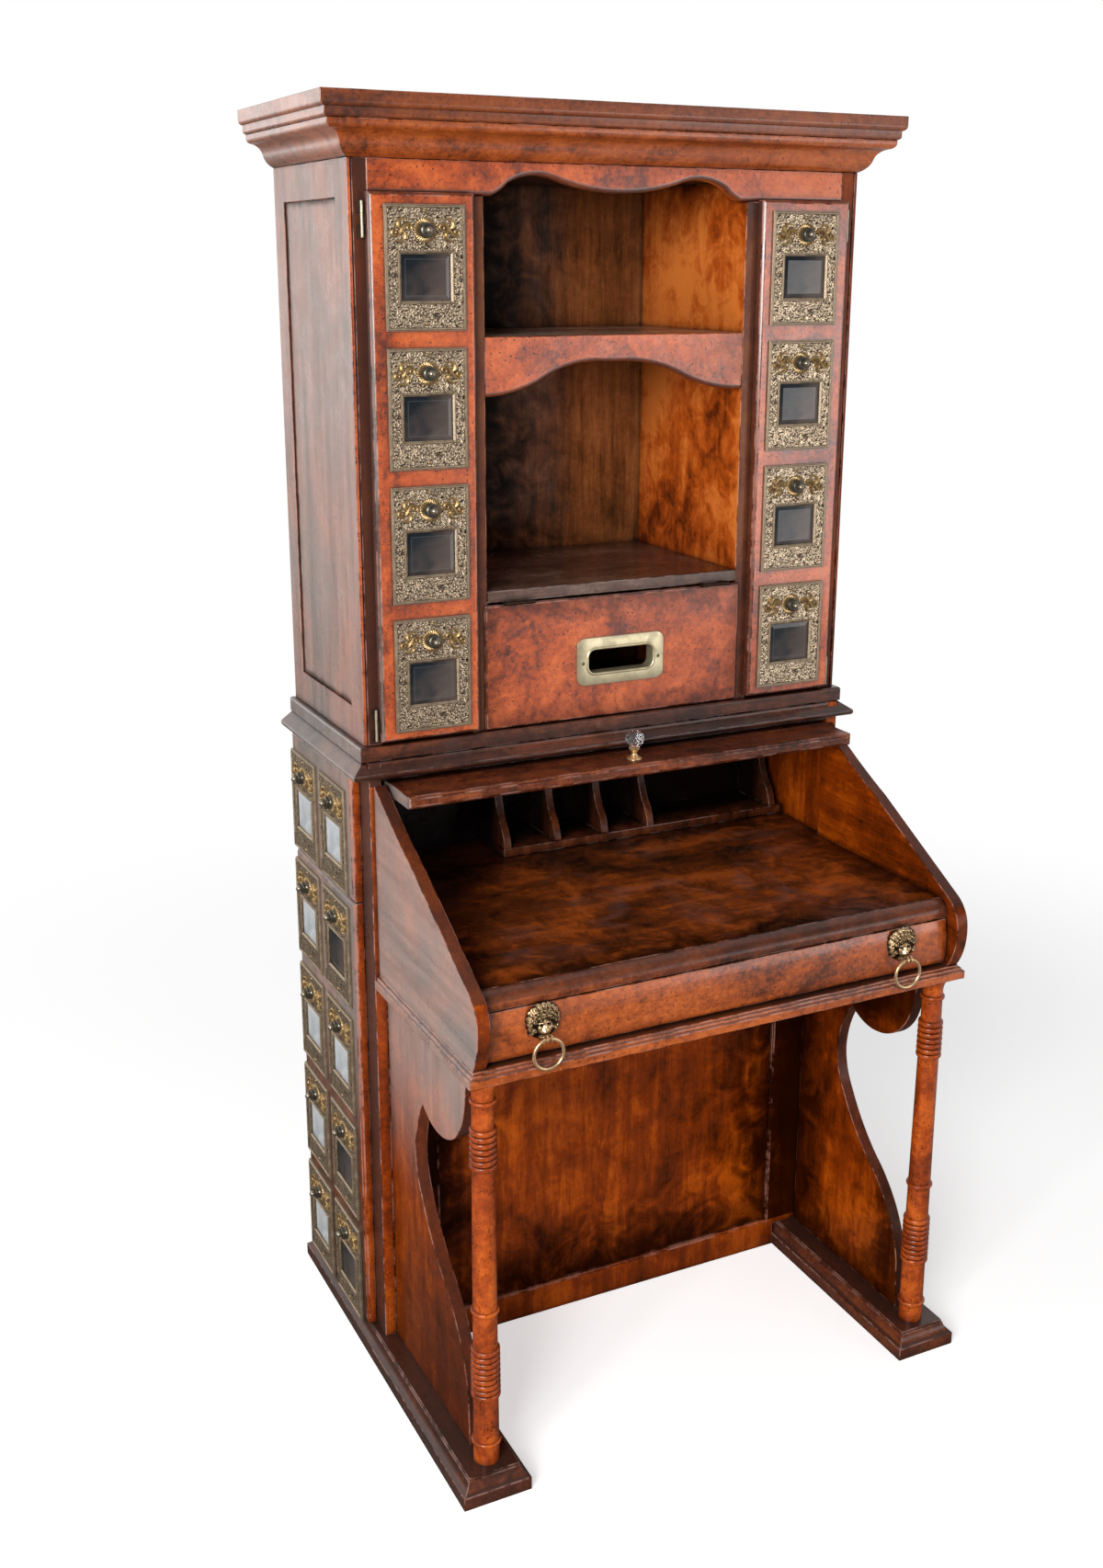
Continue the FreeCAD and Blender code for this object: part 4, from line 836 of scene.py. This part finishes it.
# Columns

COLUMN_BEADS = ((0.054, 1), (0.242, 9), (0.406, 1), (0.825, 7), (0.942, 1))
COLUMN_FOOT, COLUMN_TOP, COLUMN_INSET = 0.0193, 0.0158, 0.0225
BEAD_STEPS = 8


def column_profile(tall):
    """(radius, height) points up a tapered shaft with single rings and reeded collars."""
    profile = [(COLUMN_FOOT, 0)]
    for share, count in COLUMN_BEADS:
        pitch, swell = (0.007, 0.0032) if count == 1 else (0.0092, 0.0034)
        for index in range(count):
            middle = share * tall + (index + 0.5 - count / 2) * pitch
            shaft = COLUMN_FOOT - (COLUMN_FOOT - COLUMN_TOP) * middle / tall
            for step in range(BEAD_STEPS + 1):
                angle = math.pi * step / BEAD_STEPS
                profile.append((shaft + swell * math.sin(angle) ** 0.8,
                                middle - pitch / 2 * 0.96 * math.cos(angle)))
    profile += [(radius, tall - below) for radius, below in
                ((0.0162, 0.022), (0.0168, 0.018), (0.0192, 0.011), (0.0205, 0.007), (0.0205, 0))]
    return profile


class DeskColumns(bpy.types.Operator):
    """Turn the two bamboo-like columns"""

    bl_idname = "desk.columns"
    bl_label = "Turned columns"

    def execute(self, context):
        low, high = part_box("columns")
        shape = Shape()
        for side in (-1, 1):
            centre = (side * (high.x - COLUMN_INSET), (low.y + high.y) / 2, low.z)
            shape.turn(column_profile(high.z - low.z), centre, steps=48)
        shape.settle("turned_columns", [wood("cherry")], "columns")
        return {"FINISHED"}


# Letter fronts

FRONT_WIDE, FRONT_TALL = 0.120, 0.169
SILL, WINDOW_WIDE, WINDOW_TALL = 0.041, 0.074, 0.062
WINDOW_MIDDLE = SILL + WINDOW_TALL / 2
DIAL_HEIGHT = 0.1345
GROUND_INSET, GROUND_OUT, GROUND_STEP = 0.0042, 0.0024, 0.0010
PEBBLE_SEED = 5
FLUTES = 32
SCROLL_SIZE, SCROLL_X, SCROLL_OUT = 0.0163, 0.0353, 0.0036
LEAF_STEPS = 12

# (distance in or out from an edge, height over the board) points of the frames
RIM = ((0, 0.0), (0, 0.0030), (0.0004, 0.0034), (0.0012, 0.0034), (0.0016, 0.0040),
       (0.0022, 0.0049), (0.0038, 0.0049), (0.0045, 0.0040), (0.0049, 0.0021))
WINDOW = ((0.0050, 0.0021), (0.0043, 0.0044), (0.0036, 0.0052), (0.0026, 0.0052),
          (0.0018, 0.0044), (0.0006, 0.0036), (0, 0.0032), (0, 0.0))

# (radius, height) points of the turned pieces
ROSETTE = ((0.0172, 0.0016), (0.0171, 0.0034), (0.0164, 0.0037), (0.0135, 0.0046),
           (0.0108, 0.0054), (0.0094, 0.0050))
DIAL = ((0.0106, 0.0038), (0.0106, 0.0068), (0.0098, 0.0078), (0.0094, 0.0098),
        (0.0099, 0.0104), (0.0099, 0.0130), (0.0088, 0.0140), (0.0062, 0.0144),
        (0.0044, 0.0150))
DIAL_TIP = [(0.0054 * math.sin(math.pi * step / 9 + 0.001),
             0.0180 - 0.0054 * math.cos(math.pi * step / 9)) for step in range(10)]
STUD = ((0.0027, 0.0018), (0.0027, 0.0034), (0.0022, 0.0043), (0.0012, 0.0048),
        (0.0002, 0.0049))

DOOR_FRONT_X, DOOR_FRONT_TOP, DOOR_FRONT_PITCH = 0.3145, 1.8100, 0.19228
SIDE_FRONT_Y, SIDE_FRONT_TOP, SIDE_FRONT_PITCH = (0.279, 0.1385), 0.964, 0.1897
PALE_WINDOWS = ("side_front_1_1", "side_front_1_2", "side_front_2_1", "side_front_3_1",
                "side_front_3_2", "side_front_4_1", "side_front_5_1")


def rectangle(half_wide, half_tall, middle, out):
    """Four corners of an upright rectangle that stands out from the board."""
    return [Vector((x * half_wide, -out, middle + z * half_tall))
            for x, z in ((-1, -1), (1, -1), (1, 1), (-1, 1))]


def window_loop(outset, out):
    """A loop round the window, some way outside its edge."""
    return rectangle(WINDOW_WIDE / 2 + outset, WINDOW_TALL / 2 + outset, WINDOW_MIDDLE, out)


def pebble_field(shape, mark):
    """Hammered ground between the rim and the window, as a fine sheet of bumps."""
    metal = bpy.context.scene.desk_metal
    half, tall = FRONT_WIDE / 2 - GROUND_INSET, FRONT_TALL - 2 * GROUND_INSET
    columns, rows = round(2 * half / GROUND_STEP), round(tall / GROUND_STEP)
    start = len(shape.points)
    noise.seed_set(PEBBLE_SEED)

    def place(column, row):
        return -half + 2 * half * column / columns, GROUND_INSET + tall * row / rows

    for row in range(rows + 1):
        for column in range(columns + 1):
            x, z = place(column, row)
            spot = Vector((0.72 * x, 0, z)) / metal.pebble_size
            spot += 0.35 * noise.noise_vector(spot * 0.7)
            near = noise.voronoi(spot)[0]
            lump = min(1.0, max(0.0, (near[1] - near[0]) * 2.6))
            lump = lump * (2 - lump)
            shape.points.append(Vector((x, -GROUND_OUT - metal.pebble_height * lump, z)))
            shape.raised.append(lump)
    for row in range(rows):
        for column in range(columns):
            x, z = place(column + 0.5, row + 0.5)
            if (abs(x) >= WINDOW_WIDE / 2 + GROUND_OUT
                    or abs(z - WINDOW_MIDDLE) >= WINDOW_TALL / 2 + GROUND_OUT):
                here = start + row * (columns + 1) + column
                shape.face((here, here + 1, here + columns + 2, here + columns + 1), mark)


def spiral(reach, count):
    """Points of one double spiral that runs level through its middle."""
    points = [Vector((0, 0))]
    for direction in (1, -1):
        spot = Vector((0, 0))
        stretch = []
        for step in range(1, count + 1):
            angle = math.pi / 2 * (reach * step / count) ** 2
            spot = spot + direction * Vector((math.cos(angle), math.sin(angle))) * reach / count
            stretch.append(spot.copy())
        points = (stretch[::-1] + points) if direction < 0 else (points + stretch)
    return points


def scroll_paths(side):
    """A leafy scroll beside the dial: one long double spiral and two leaves, with their widths."""
    def placed(points, turned):
        turn = Matrix.Rotation(turned, 2)
        return [Vector((side * (SCROLL_X + SCROLL_SIZE * spot.x), -SCROLL_OUT,
                        DIAL_HEIGHT + 0.0005 + SCROLL_SIZE * spot.y))
                for spot in (turn @ point for point in points)]

    main = spiral(2.25, 40)
    half = len(main) / 2
    widths = [0.0014 + 0.0015 * (1 - abs(index - half) / half) for index in range(len(main))]
    widths[0] = widths[-1] = 0.0026
    yield placed(main, math.radians(-62)), widths
    shares = [step / LEAF_STEPS for step in range(LEAF_STEPS + 1)]
    leaf = []
    for share in shares:
        angle = 0.35 + 1.9 * share * share
        leaf.append(Vector((0.02, 0.10)) + 0.95 * share * Vector((math.cos(angle),
                                                                  math.sin(angle))))
    for turned in (0, math.pi):
        yield placed(leaf, turned), [0.0009 + 0.0023 * math.sin(math.pi * share ** 0.8)
                                     for share in shares]


def letter_front():
    """The mesh that all brass letter fronts share, standing at its bottom centre."""
    metal = bpy.context.scene.desk_metal
    shape = Shape()
    pebble_field(shape, 0)
    loops = [rectangle(FRONT_WIDE / 2 - inset, FRONT_TALL / 2 - inset, FRONT_TALL / 2, out)
             for inset, out in RIM]
    shape.loft(loops + [window_loop(*point) for point in WINDOW], 1, joined=True)

    def fluted(radius, angle):
        return 0.0011 * abs(math.cos(FLUTES / 2 * angle)) if 0.0095 < radius < 0.0168 else 0.0

    dial = (0, 0, DIAL_HEIGHT)
    shape.turn(ROSETTE, dial, "Y", FLUTES * 4, 2, fluted)
    shape.turn(DIAL, dial, "Y", 28, 3)
    shape.turn(DIAL_TIP, dial, "Y", 20, 4)
    for side in (-1, 1):
        for path, widths in scroll_paths(side):
            shape.tube(path, widths, 5, 8, flat=1.15)
    for height in (0.0100, 0.1600):
        shape.turn(STUD, (0, 0, height), "Y", 16, 2)
    materials = [
        pebbled_brass(),
        worn_metal("rubbed_brass", shaded(metal.brass_light, 0.66), tuple(metal.brass_dark), 0.46),
        worn_metal("polished_brass", chip(196, 164, 116), chip(44, 30, 18), 0.32, 0.002),
        worn_metal("dial_metal", tuple(metal.dial), shaded(metal.dial, 0.3), 0.30),
        smooth_metal("dial_tip_metal", chip(158, 148, 130), 0.26),
        worn_metal("scroll_brass", chip(200, 166, 114), chip(46, 32, 20), 0.30, 0.002),
    ]
    return shape.mesh("letter_front", materials, 40)


def pane_mesh(name, material):
    """Window glass with a broad ground bevel, standing at the front's bottom centre."""
    shape = Shape()
    shape.loft([window_loop(0, 0.0002), window_loop(0, 0.0010), window_loop(-0.0065, 0.0023)])
    return shape.mesh(name, [material], 5)


def front_places():
    """Every letter front: its name, the name of its nodes without their ending, and its place."""
    for side, word in ((-1, "left"), (1, "right")):
        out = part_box(word + "_door_plates")[1].y
        for row in range(4):
            low = DOOR_FRONT_TOP - FRONT_TALL - row * DOOR_FRONT_PITCH
            yield (f"{word}_front_{row + 1}", word + "_door_",
                   Matrix.Translation((side * DOOR_FRONT_X, out, low)))
    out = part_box("upper_side_plates")[1].x
    turn = Matrix.Rotation(math.radians(-90), 4, "Z")
    for row in range(5):
        for column, y in enumerate(SIDE_FRONT_Y):
            spot = (out, y, SIDE_FRONT_TOP - FRONT_TALL - row * SIDE_FRONT_PITCH)
            yield (f"side_front_{row + 1}_{column + 1}", "side_door_" if row else "upper_side_",
                   Matrix.Translation(spot) @ turn)


class DeskLetterFronts(bpy.types.Operator):
    """Make the brass letter fronts on both cabinet doors and the left side"""

    bl_idname = "desk.letter_fronts"
    bl_label = "Brass letter fronts"

    def execute(self, context):
        mesh = letter_front()
        for name, nodes, place in front_places():
            settle(name, mesh, nodes + "plates", place)
        return {"FINISHED"}


class DeskWindows(bpy.types.Operator):
    """Set bevelled glass in the windows of the letter fronts"""

    bl_idname = "desk.windows"
    bl_label = "Window glass"

    def execute(self, context):
        dark = pane_mesh("dark_pane", dark_pane())
        pale = pane_mesh("pale_pane", pale_pane())
        for name, nodes, place in front_places():
            settle(name + "_glass", pale if name in PALE_WINDOWS else dark, nodes + "panes", place)
        return {"FINISHED"}


# Mail flap fittings and hinges

PLATE_X, PLATE_Z = 0.007, 1.1365
SCREW = ((0.0028, 0.0), (0.0028, 0.0006), (0.0022, 0.0011), (0.0002, 0.0013))
SCREW_PLACES = (-0.0661, 0.0671)

# Width, height, corner radius and height over the flap of the loops of the letter plate
PLATE = ((0.1535, 0.076, 0.014, 0.0), (0.1535, 0.076, 0.014, 0.0010),
         (0.1527, 0.0752, 0.0136, 0.0018), (0.1512, 0.0737, 0.0128, 0.0021),
         (0.1225, 0.0455, 0.0158, 0.0021), (0.1216, 0.0446, 0.0153, 0.0030),
         (0.1200, 0.0430, 0.0145, 0.0042), (0.1180, 0.0410, 0.0135, 0.0046),
         (0.1160, 0.0390, 0.0125, 0.0044), (0.1140, 0.0370, 0.0115, 0.0034),
         (0.1130, 0.0360, 0.0110, 0.0018))
HINGE_AXES = [Vector(place) for place in ((-0.4005, 0.0275), (0.4005, 0.0275), (-0.4235, 0.3475))]
KNUCKLE, KNUCKLE_SHRINK = 0.0045, 0.60


def rounded_loop(wide, tall, corner, y, steps=10):
    """Points round the letter plate: an upright rectangle with round corners."""
    loop = []
    for quarter, (side, rise) in enumerate(((1, 1), (-1, 1), (-1, -1), (1, -1))):
        for step in range(steps + 1):
            angle = (quarter + step / steps) * math.pi / 2
            loop.append(Vector((
                PLATE_X + side * (wide / 2 - corner) + corner * math.cos(angle), y,
                PLATE_Z + rise * (tall / 2 - corner) + corner * math.sin(angle))))
    return loop


def old_bronze():
    """Nearly black metal of the small hinges."""
    return worn_metal("old_bronze", chip(70, 50, 38), chip(30, 20, 16), 0.45)


class DeskLetterPlate(bpy.types.Operator):
    """Make the satin brass letter plate with its raised rim and lining"""

    bl_idname = "desk.letter_plate"
    bl_label = "Letter plate"

    def execute(self, context):
        metal = context.scene.desk_metal
        front, back = (corner.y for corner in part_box("mail_flap"))
        shape = Shape()
        loops = [rounded_loop(*sizes, front - out) for *sizes, out in PLATE]
        loops += [rounded_loop(*PLATE[-1][:3], back), rounded_loop(*PLATE[-3][:3], back),
                  rounded_loop(*PLATE[-3][:3], front)]
        shape.loft(loops, joined=True)
        for aside in SCREW_PLACES:
            shape.turn(SCREW, (PLATE_X + aside, front - 0.0018, PLATE_Z - 0.0017), "Y", 18, 1)
        fittings = frame["nodes"]["mail_flap_fittings"].data
        start = len(shape.points)
        shape.points += [spot.co.copy() for spot in fittings.vertices]
        for face in fittings.polygons:
            if face.center.z > 1.2:
                shape.face((start + index for index in face.vertices), 2)
        satin = smooth_metal("satin_brass", tuple(metal.satin), 0.32)
        screw = worn_metal("screw_brass", shaded(metal.satin, 0.4), chip(40, 32, 20))
        shape.settle("letter_plate", [satin, screw, old_bronze()], "mail_flap_fittings")
        return {"FINISHED"}


class DeskHinges(bpy.types.Operator):
    """Round the butt hinges and give them dull brass"""

    bl_idname = "desk.hinges"
    bl_label = "Butt hinges"

    def execute(self, context):
        brass = smooth_metal("hinge_brass", tuple(context.scene.desk_metal.hinge), 0.36)
        for node in ("fixed_hinge_halves", "right_door_hinges", "left_door_hinges",
                     "side_door_hinges"):
            mesh = soften(node, brass, 0.0002, 40.0).data
            mesh.materials.append(old_bronze())
            for face in mesh.polygons:
                reach = max(min((mesh.vertices[index].co.xy - axis).length for axis in HINGE_AXES)
                            for index in face.vertices)
                face.material_index = int(reach > KNUCKLE)
            for spot in mesh.vertices:
                for axis in HINGE_AXES:
                    across = spot.co.xy - axis
                    if across.length < KNUCKLE - 0.0002:
                        spot.co.xy = axis + across * KNUCKLE_SHRINK
        return {"FINISHED"}


# Lid knob

STEM = ((0.0126, 0), (0.0126, 0.0010), (0.0112, 0.0022), (0.0078, 0.0036), (0.0052, 0.0058),
        (0.0044, 0.0084), (0.0046, 0.0104), (0.0062, 0.0122), (0.0080, 0.0140),
        (0.0090, 0.0160), (0.0090, 0.0176), (0.0078, 0.0184), (0.0050, 0.0186))
BALL_ROWS, BALL_SIDES, BALL_RADIUS = 9, 12, 0.0149


class DeskLidKnob(bpy.types.Operator):
    """Make the cut-glass ball and the turned brass stem of the lid knob"""

    bl_idname = "desk.lid_knob"
    bl_label = "Lid knob"

    def execute(self, context):
        low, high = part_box("lid_knob_base")
        stem = Shape()
        stem.turn(STEM, ((low.x + high.x) / 2, (low.y + high.y) / 2, low.z), steps=36)
        gilt = smooth_metal("stem_brass", tuple(context.scene.desk_metal.gilt_light), 0.22)
        stem.settle("knob_stem", [gilt], "lid_knob_base")
        low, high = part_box("lid_knob")
        ball = Shape()
        for row in range(BALL_ROWS):
            rise = -0.90 + 1.88 * row / (BALL_ROWS - 1)
            wide = BALL_RADIUS * math.sqrt(max(0.02, 1 - rise * rise))
            for angle in round_about(BALL_SIDES):
                angle += math.pi * row / BALL_SIDES
                ball.points.append((low + high) / 2 + Vector((
                    wide * math.cos(angle), wide * math.sin(angle), (high.z - low.z) / 2 * rise)))
        for row in range(BALL_ROWS - 1):
            for side in range(BALL_SIDES):
                here = row * BALL_SIDES + side
                after = row * BALL_SIDES + (side + 1) % BALL_SIDES
                ball.face((here, after, here + BALL_SIDES))
                ball.face((after, after + BALL_SIDES, here + BALL_SIDES))
        ball.face(range(BALL_SIDES))
        ball.face(range(len(ball.points) - BALL_SIDES, len(ball.points)))
        ball.settle("knob_ball", [cut_glass()], "lid_knob", 4)
        return {"FINISHED"}


# Lion masks and rings

MASK_X, MASK_Z = 0.304, 0.738
EYE_Y, EYE_Z = -0.356, 0.7175
EYE_WIDE, EYE_TALL, EYE_HALF = 0.0052, 0.0048, 0.0011
MASK_RAYS, MASK_RINGS = 96, 40
CURL_SIZE, CURL_TURN = 5.2, 2.9
RING_STEPS, RING_THICK = 72, 0.00245

# (reach, angle) of the curls of the mane, in millimetres and degrees
MANE = ([(22.5, angle) for angle in range(-24, 210, 19)]
        + [(16.5, angle) for angle in range(4, 180, 21)]
        + [(11.0, angle) for angle in range(38, 150, 26)]
        + [(25.5, -44), (25.5, 224), (20.0, -34), (20.0, 214), (24.0, -78), (25.5, -90),
           (24.0, -102)])
CURLS = [(reach * math.cos(math.radians(angle)), reach * math.sin(math.radians(angle)))
         for reach, angle in MANE]


def bell(u, v, wide, tall):
    """A smooth hump of height one."""
    return math.exp(-(u / wide) ** 2 - (v / tall) ** 2)


def mask_relief(u, v, share):
    """Height of the lion's face in millimetres, and how far it stands above its ground."""
    side = abs(u)
    body = 8.5 * max(0.0, 1 - share ** 3.0) ** 0.8 + 0.8
    face = 1 / (1 + math.exp(9 * (((u / 11.5) ** 2 + ((v + 8) / 13.0) ** 2) ** 0.5 - 1)))
    curl = 0.0
    for place, (across, up) in enumerate(CURLS):
        away = math.hypot(u - across, v - up)
        if away < CURL_SIZE:
            spin = math.atan2(v - up, u - across) * (1 if place % 2 else -1)
            ridge = 0.5 + 0.5 * math.cos(2 * math.pi * away / CURL_TURN - spin)
            curl = max(curl, (1 - (away / CURL_SIZE) ** 2) * (0.30 + 0.70 * ridge))
    detail = (6.5 * curl - 2.0) * (1 - face)
    for size, *place in (
            (5.8, u, v + 12, 6.2, 5.0), (2.2, side - 3.8, v + 13.6, 2.6, 2.6),
            (2.8, u, v + 8.6, 2.6, 2.0), (2.8, u, v + 3, 2.0, 7.0),
            (-4.2, side - 5.6, v + 2.4, 2.5, 1.8), (2.2, side - 5.6, v + 2.6, 1.2, 0.9),
            (3.6, side - 5.4, v - 1.2 + 0.3 * side, 3.8, 1.4),
            (2.2, side - 9.4, v + 8.0, 2.0, 4.2), (-3.4, u, v + 17.0, 5.0, 1.2)):
        detail += size * bell(*place)
    return (body + detail) * max(0.0, 1 - share ** 9), min(1.0, max(0.0, (detail + 1.6) / 5.0))


def mask_shape(shape, centre):
    """A lion mask in relief, closed at its back, in front of a centre point."""
    loops = []
    shape.raised += [1.0] * (len(shape.points) - len(shape.raised)) + [0.0] * MASK_RAYS
    for ring in range(MASK_RINGS, 0, -1):
        share = ring / MASK_RINGS
        loop = []
        for angle in round_about(MASK_RAYS):
            from_chin = abs((math.degrees(angle) + 90 + 180) % 360 - 180)
            radius = 25.8 + 1.2 * abs(math.sin(angle * 7.83))
            radius += 3.2 * bell(from_chin, 0, 20, 1) + 2.2 * bell(from_chin - 52, 0, 13, 1)
            u, v = share * radius * math.cos(angle), share * radius * math.sin(angle)
            out, raised = mask_relief(u, v, share)
            shape.raised.append(raised)
            loop.append(Vector(centre) + Vector((u, -out, v)) * 0.001)
        loops.append(loop)
    shape.loft([[Vector((spot.x, centre[1], spot.z)) for spot in loops[0]]] + loops)


def eye_shape(shape, x):
    """A flat eye that a ring hangs in."""
    loops = []
    for angle in round_about(20):
        spot = Vector((x, EYE_Y + EYE_WIDE * math.cos(angle), EYE_Z + EYE_TALL * math.sin(angle)))
        out = (spot - Vector((x, EYE_Y, EYE_Z))).normalized()
        loops.append([spot + Vector((aside, 0, 0)) + out * rise
                      for aside, rise in ((EYE_HALF, -0.0011), (EYE_HALF, 0.0006),
                                          (-EYE_HALF, 0.0006), (-EYE_HALF, -0.0011))])
    shape.loft(loops, joined=True)


class DeskRingPulls(bpy.types.Operator):
    """Model the lion masks and their hanging rings"""

    bl_idname = "desk.ring_pulls"
    bl_label = "Ring pulls"

    def execute(self, context):
        metal = context.scene.desk_metal
        gilt = worn_metal("gilt_brass", tuple(metal.gilt_light), tuple(metal.gilt_dark), 0.28,
                          0.004, True)
        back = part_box("lion_masks")[1].y
        shape = Shape()
        for side in (-1, 1):
            mask_shape(shape, (side * MASK_X, back, MASK_Z))
            for end in (-1, 1):
                eye_shape(shape, side * MASK_X + end * 0.0034)
        shape.settle("lion_faces", [gilt], "lion_masks", 60)
        ring_gilt = smooth_metal("ring_brass", tuple(metal.gilt_light), 0.24)
        for word in ("left", "right"):
            low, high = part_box(word + "_ring")
            radius = (high.z - low.z) / 2 - 0.0025
            path = [(low + high) / 2 + radius * Vector((math.sin(angle), 0, math.cos(angle)))
                    for angle in round_about(RING_STEPS)]
            ring = Shape()
            ring.tube(path, RING_THICK, 0, 16, joined=True)
            ring.settle(word + "_pull", [ring_gilt], word + "_ring")
        return {"FINISHED"}


# Stage

WHITE = (1, 1, 1, 1)
FLOOR_REACH = 14.0
CAMERA_PLACE = (-1.20408, -2.19938, 1.73219)
CAMERA_TURNS = ((-26.39, "Z"), (73.89, "X"), (0.16, "Z"))
CAMERA_SHIFT = (-0.0050, -0.0274)
LAMP_AIM = Vector((0, 0, 1.2))

# Place and size of each lamp; its power is a setting
LAMPS = {"key": ((-3.1, -2.9, 2.3), 1.9), "fill": ((2.4, -3.6, 1.2), 1.6),
         "back": ((-2.2, 2.9, 1.6), 2.2)}


def show(name, data):
    """Put a new object with this data in the scene."""
    made = bpy.data.objects.new(name, data)
    bpy.context.scene.collection.objects.link(made)
    return made


class DeskStageSet(bpy.types.Operator):
    """Set up the floor, the lamps, the room and the camera"""

    bl_idname = "desk.stage"
    bl_label = "Stage and camera"

    def execute(self, context):
        scene = context.scene
        stage = scene.desk_stage
        scene.view_settings.view_transform = "Standard"
        self.floor(stage)
        self.room(scene, stage)
        for name, (place, size) in LAMPS.items():
            self.lamp(name + "_lamp", place, getattr(stage, name + "_power"), size)
        data = bpy.data.cameras.new("camera")
        data.lens = stage.lens
        data.sensor_width = 36
        data.shift_x, data.shift_y = CAMERA_SHIFT
        scene.camera = show("camera", data)
        place = Matrix.Translation(CAMERA_PLACE)
        for degrees, axis in CAMERA_TURNS:
            place = place @ Matrix.Rotation(math.radians(degrees), 4, axis)
        scene.camera.matrix_world = place
        return {"FINISHED"}

    def floor(self, stage):
        """A pale floor that turns white far off and brown in the reflections of the desk."""
        mesh = bpy.data.meshes.new("floor")
        mesh.from_pydata([(x * FLOOR_REACH, y * FLOOR_REACH, 0)
                          for x, y in ((-1, -1), (1, -1), (1, 1), (-1, 1))], [], [(0, 1, 2, 3)])
        finish = Finish("pale_floor")
        mirror = finish.rays("Glossy")
        seen = finish.most(finish.rays("Camera"),
                           finish.most(finish.rays("Transmission"), mirror * 0.3))
        plain = finish.value("BsdfDiffuse", {"Color": (*stage.floor, 1)})
        glow = finish.value("Emission", {"Color": WHITE, "Strength": seen * 0.56})
        near = finish.value("AddShader", {0: plain, 1: glow})
        at = finish.object_place()
        reach = finish.value("VectorMath", {0: at}, "Value", operation="LENGTH")
        far = finish.value("Emission", {"Color": WHITE, "Strength": 1.0})
        whole = finish.value("MixShader", {0: seen * reach.band(1.2, 2.8), 1: near, 2: far})
        dim = finish.value("Emission", {"Color": (0.5, 0.36, 0.24, 1), "Strength": 0.12})
        dimmed = mirror * finish.axis(at, "X").band(0.5, 1.6, 0.88, 0.10)
        finish.node("OutputMaterial", {
            "Surface": finish.value("MixShader", {0: dimmed, 1: whole, 2: dim})})
        mesh.materials.append(finish.owner)
        show("floor", mesh)

    def room(self, scene, stage):
        """White all round for the camera, and brighter and darker parts for reflections."""
        scene.world = bpy.data.worlds.new("room")
        finish = Finish("room", scene.world)
        towards = finish.value("TexCoord", output="Generated")
        right = finish.axis(towards, "X").band(0.44, 0.56, 0.05, 1.0, "LINEAR")
        behind = finish.axis(towards, "Y").band(-0.55, -0.25, 0.0, 1.0, "LINEAR")
        below = finish.axis(towards, "Z").band(0.14, 0.30, 1.0, 0.12, "LINEAR")
        mirrored = finish.rays("Glossy") * finish.most(right * below, behind)
        shown = finish.most(finish.rays("Camera"), finish.rays("Transmission"))
        strength = finish.most(finish.most(shown, mirrored), stage.room)
        light = finish.value("Background", {"Color": WHITE, "Strength": strength})
        finish.node("OutputWorld", {"Surface": light})

    def lamp(self, name, place, power, size):
        """A square lamp that points at the desk."""
        data = bpy.data.lights.new(name, "AREA")
        data.energy = power
        data.size = size
        lamp = show(name, data)
        lamp.visible_camera = False
        lamp.location = place
        aim = LAMP_AIM - Vector(place)
        lamp.rotation_euler = aim.to_track_quat("-Z", "Y").to_euler()


# Panel and start

PIECES = (DeskCabinetBoards, DeskBoxBoards, DeskBaseBoards, DeskHiddenBoards, DeskColumns,
          DeskLetterFronts, DeskWindows, DeskLetterPlate, DeskHinges, DeskLidKnob, DeskRingPulls,
          DeskStageSet)


class DeskPanel(bpy.types.Panel):
    """Lists the pieces of the desk in the sidebar"""

    bl_idname = "DESK_PT_pieces"
    bl_label = "Clerk's Desk"
    bl_space_type = "VIEW_3D"
    bl_region_type = "UI"
    bl_category = "Desk"

    def draw(self, context):
        for piece in PIECES:
            self.layout.operator(piece.bl_idname)
        for group in ("desk_wood", "desk_metal", "desk_stage"):
            settings = getattr(context.scene, group)
            box = self.layout.box()
            for name in settings.__annotations__:
                box.prop(settings, name)


CLASSES = (DeskWood, DeskMetal, DeskStage, *PIECES, DeskPanel)


def register():
    """Register the classes and the settings."""
    for one in CLASSES:
        bpy.utils.register_class(one)
    bpy.types.Scene.desk_wood = bpy.props.PointerProperty(type=DeskWood)
    bpy.types.Scene.desk_metal = bpy.props.PointerProperty(type=DeskMetal)
    bpy.types.Scene.desk_stage = bpy.props.PointerProperty(type=DeskStage)


def unregister():
    """Remove the settings and the classes."""
    for name in ("desk_wood", "desk_metal", "desk_stage"):
        delattr(bpy.types.Scene, name)
    for one in reversed(CLASSES):
        bpy.utils.unregister_class(one)


def main():
    """Register, then build every piece and then the stage."""
    register()
    for piece in PIECES:
        group, name = piece.bl_idname.split(".")
        getattr(getattr(bpy.ops, group), name)()
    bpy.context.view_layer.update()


if __name__ == "__main__":
    main()
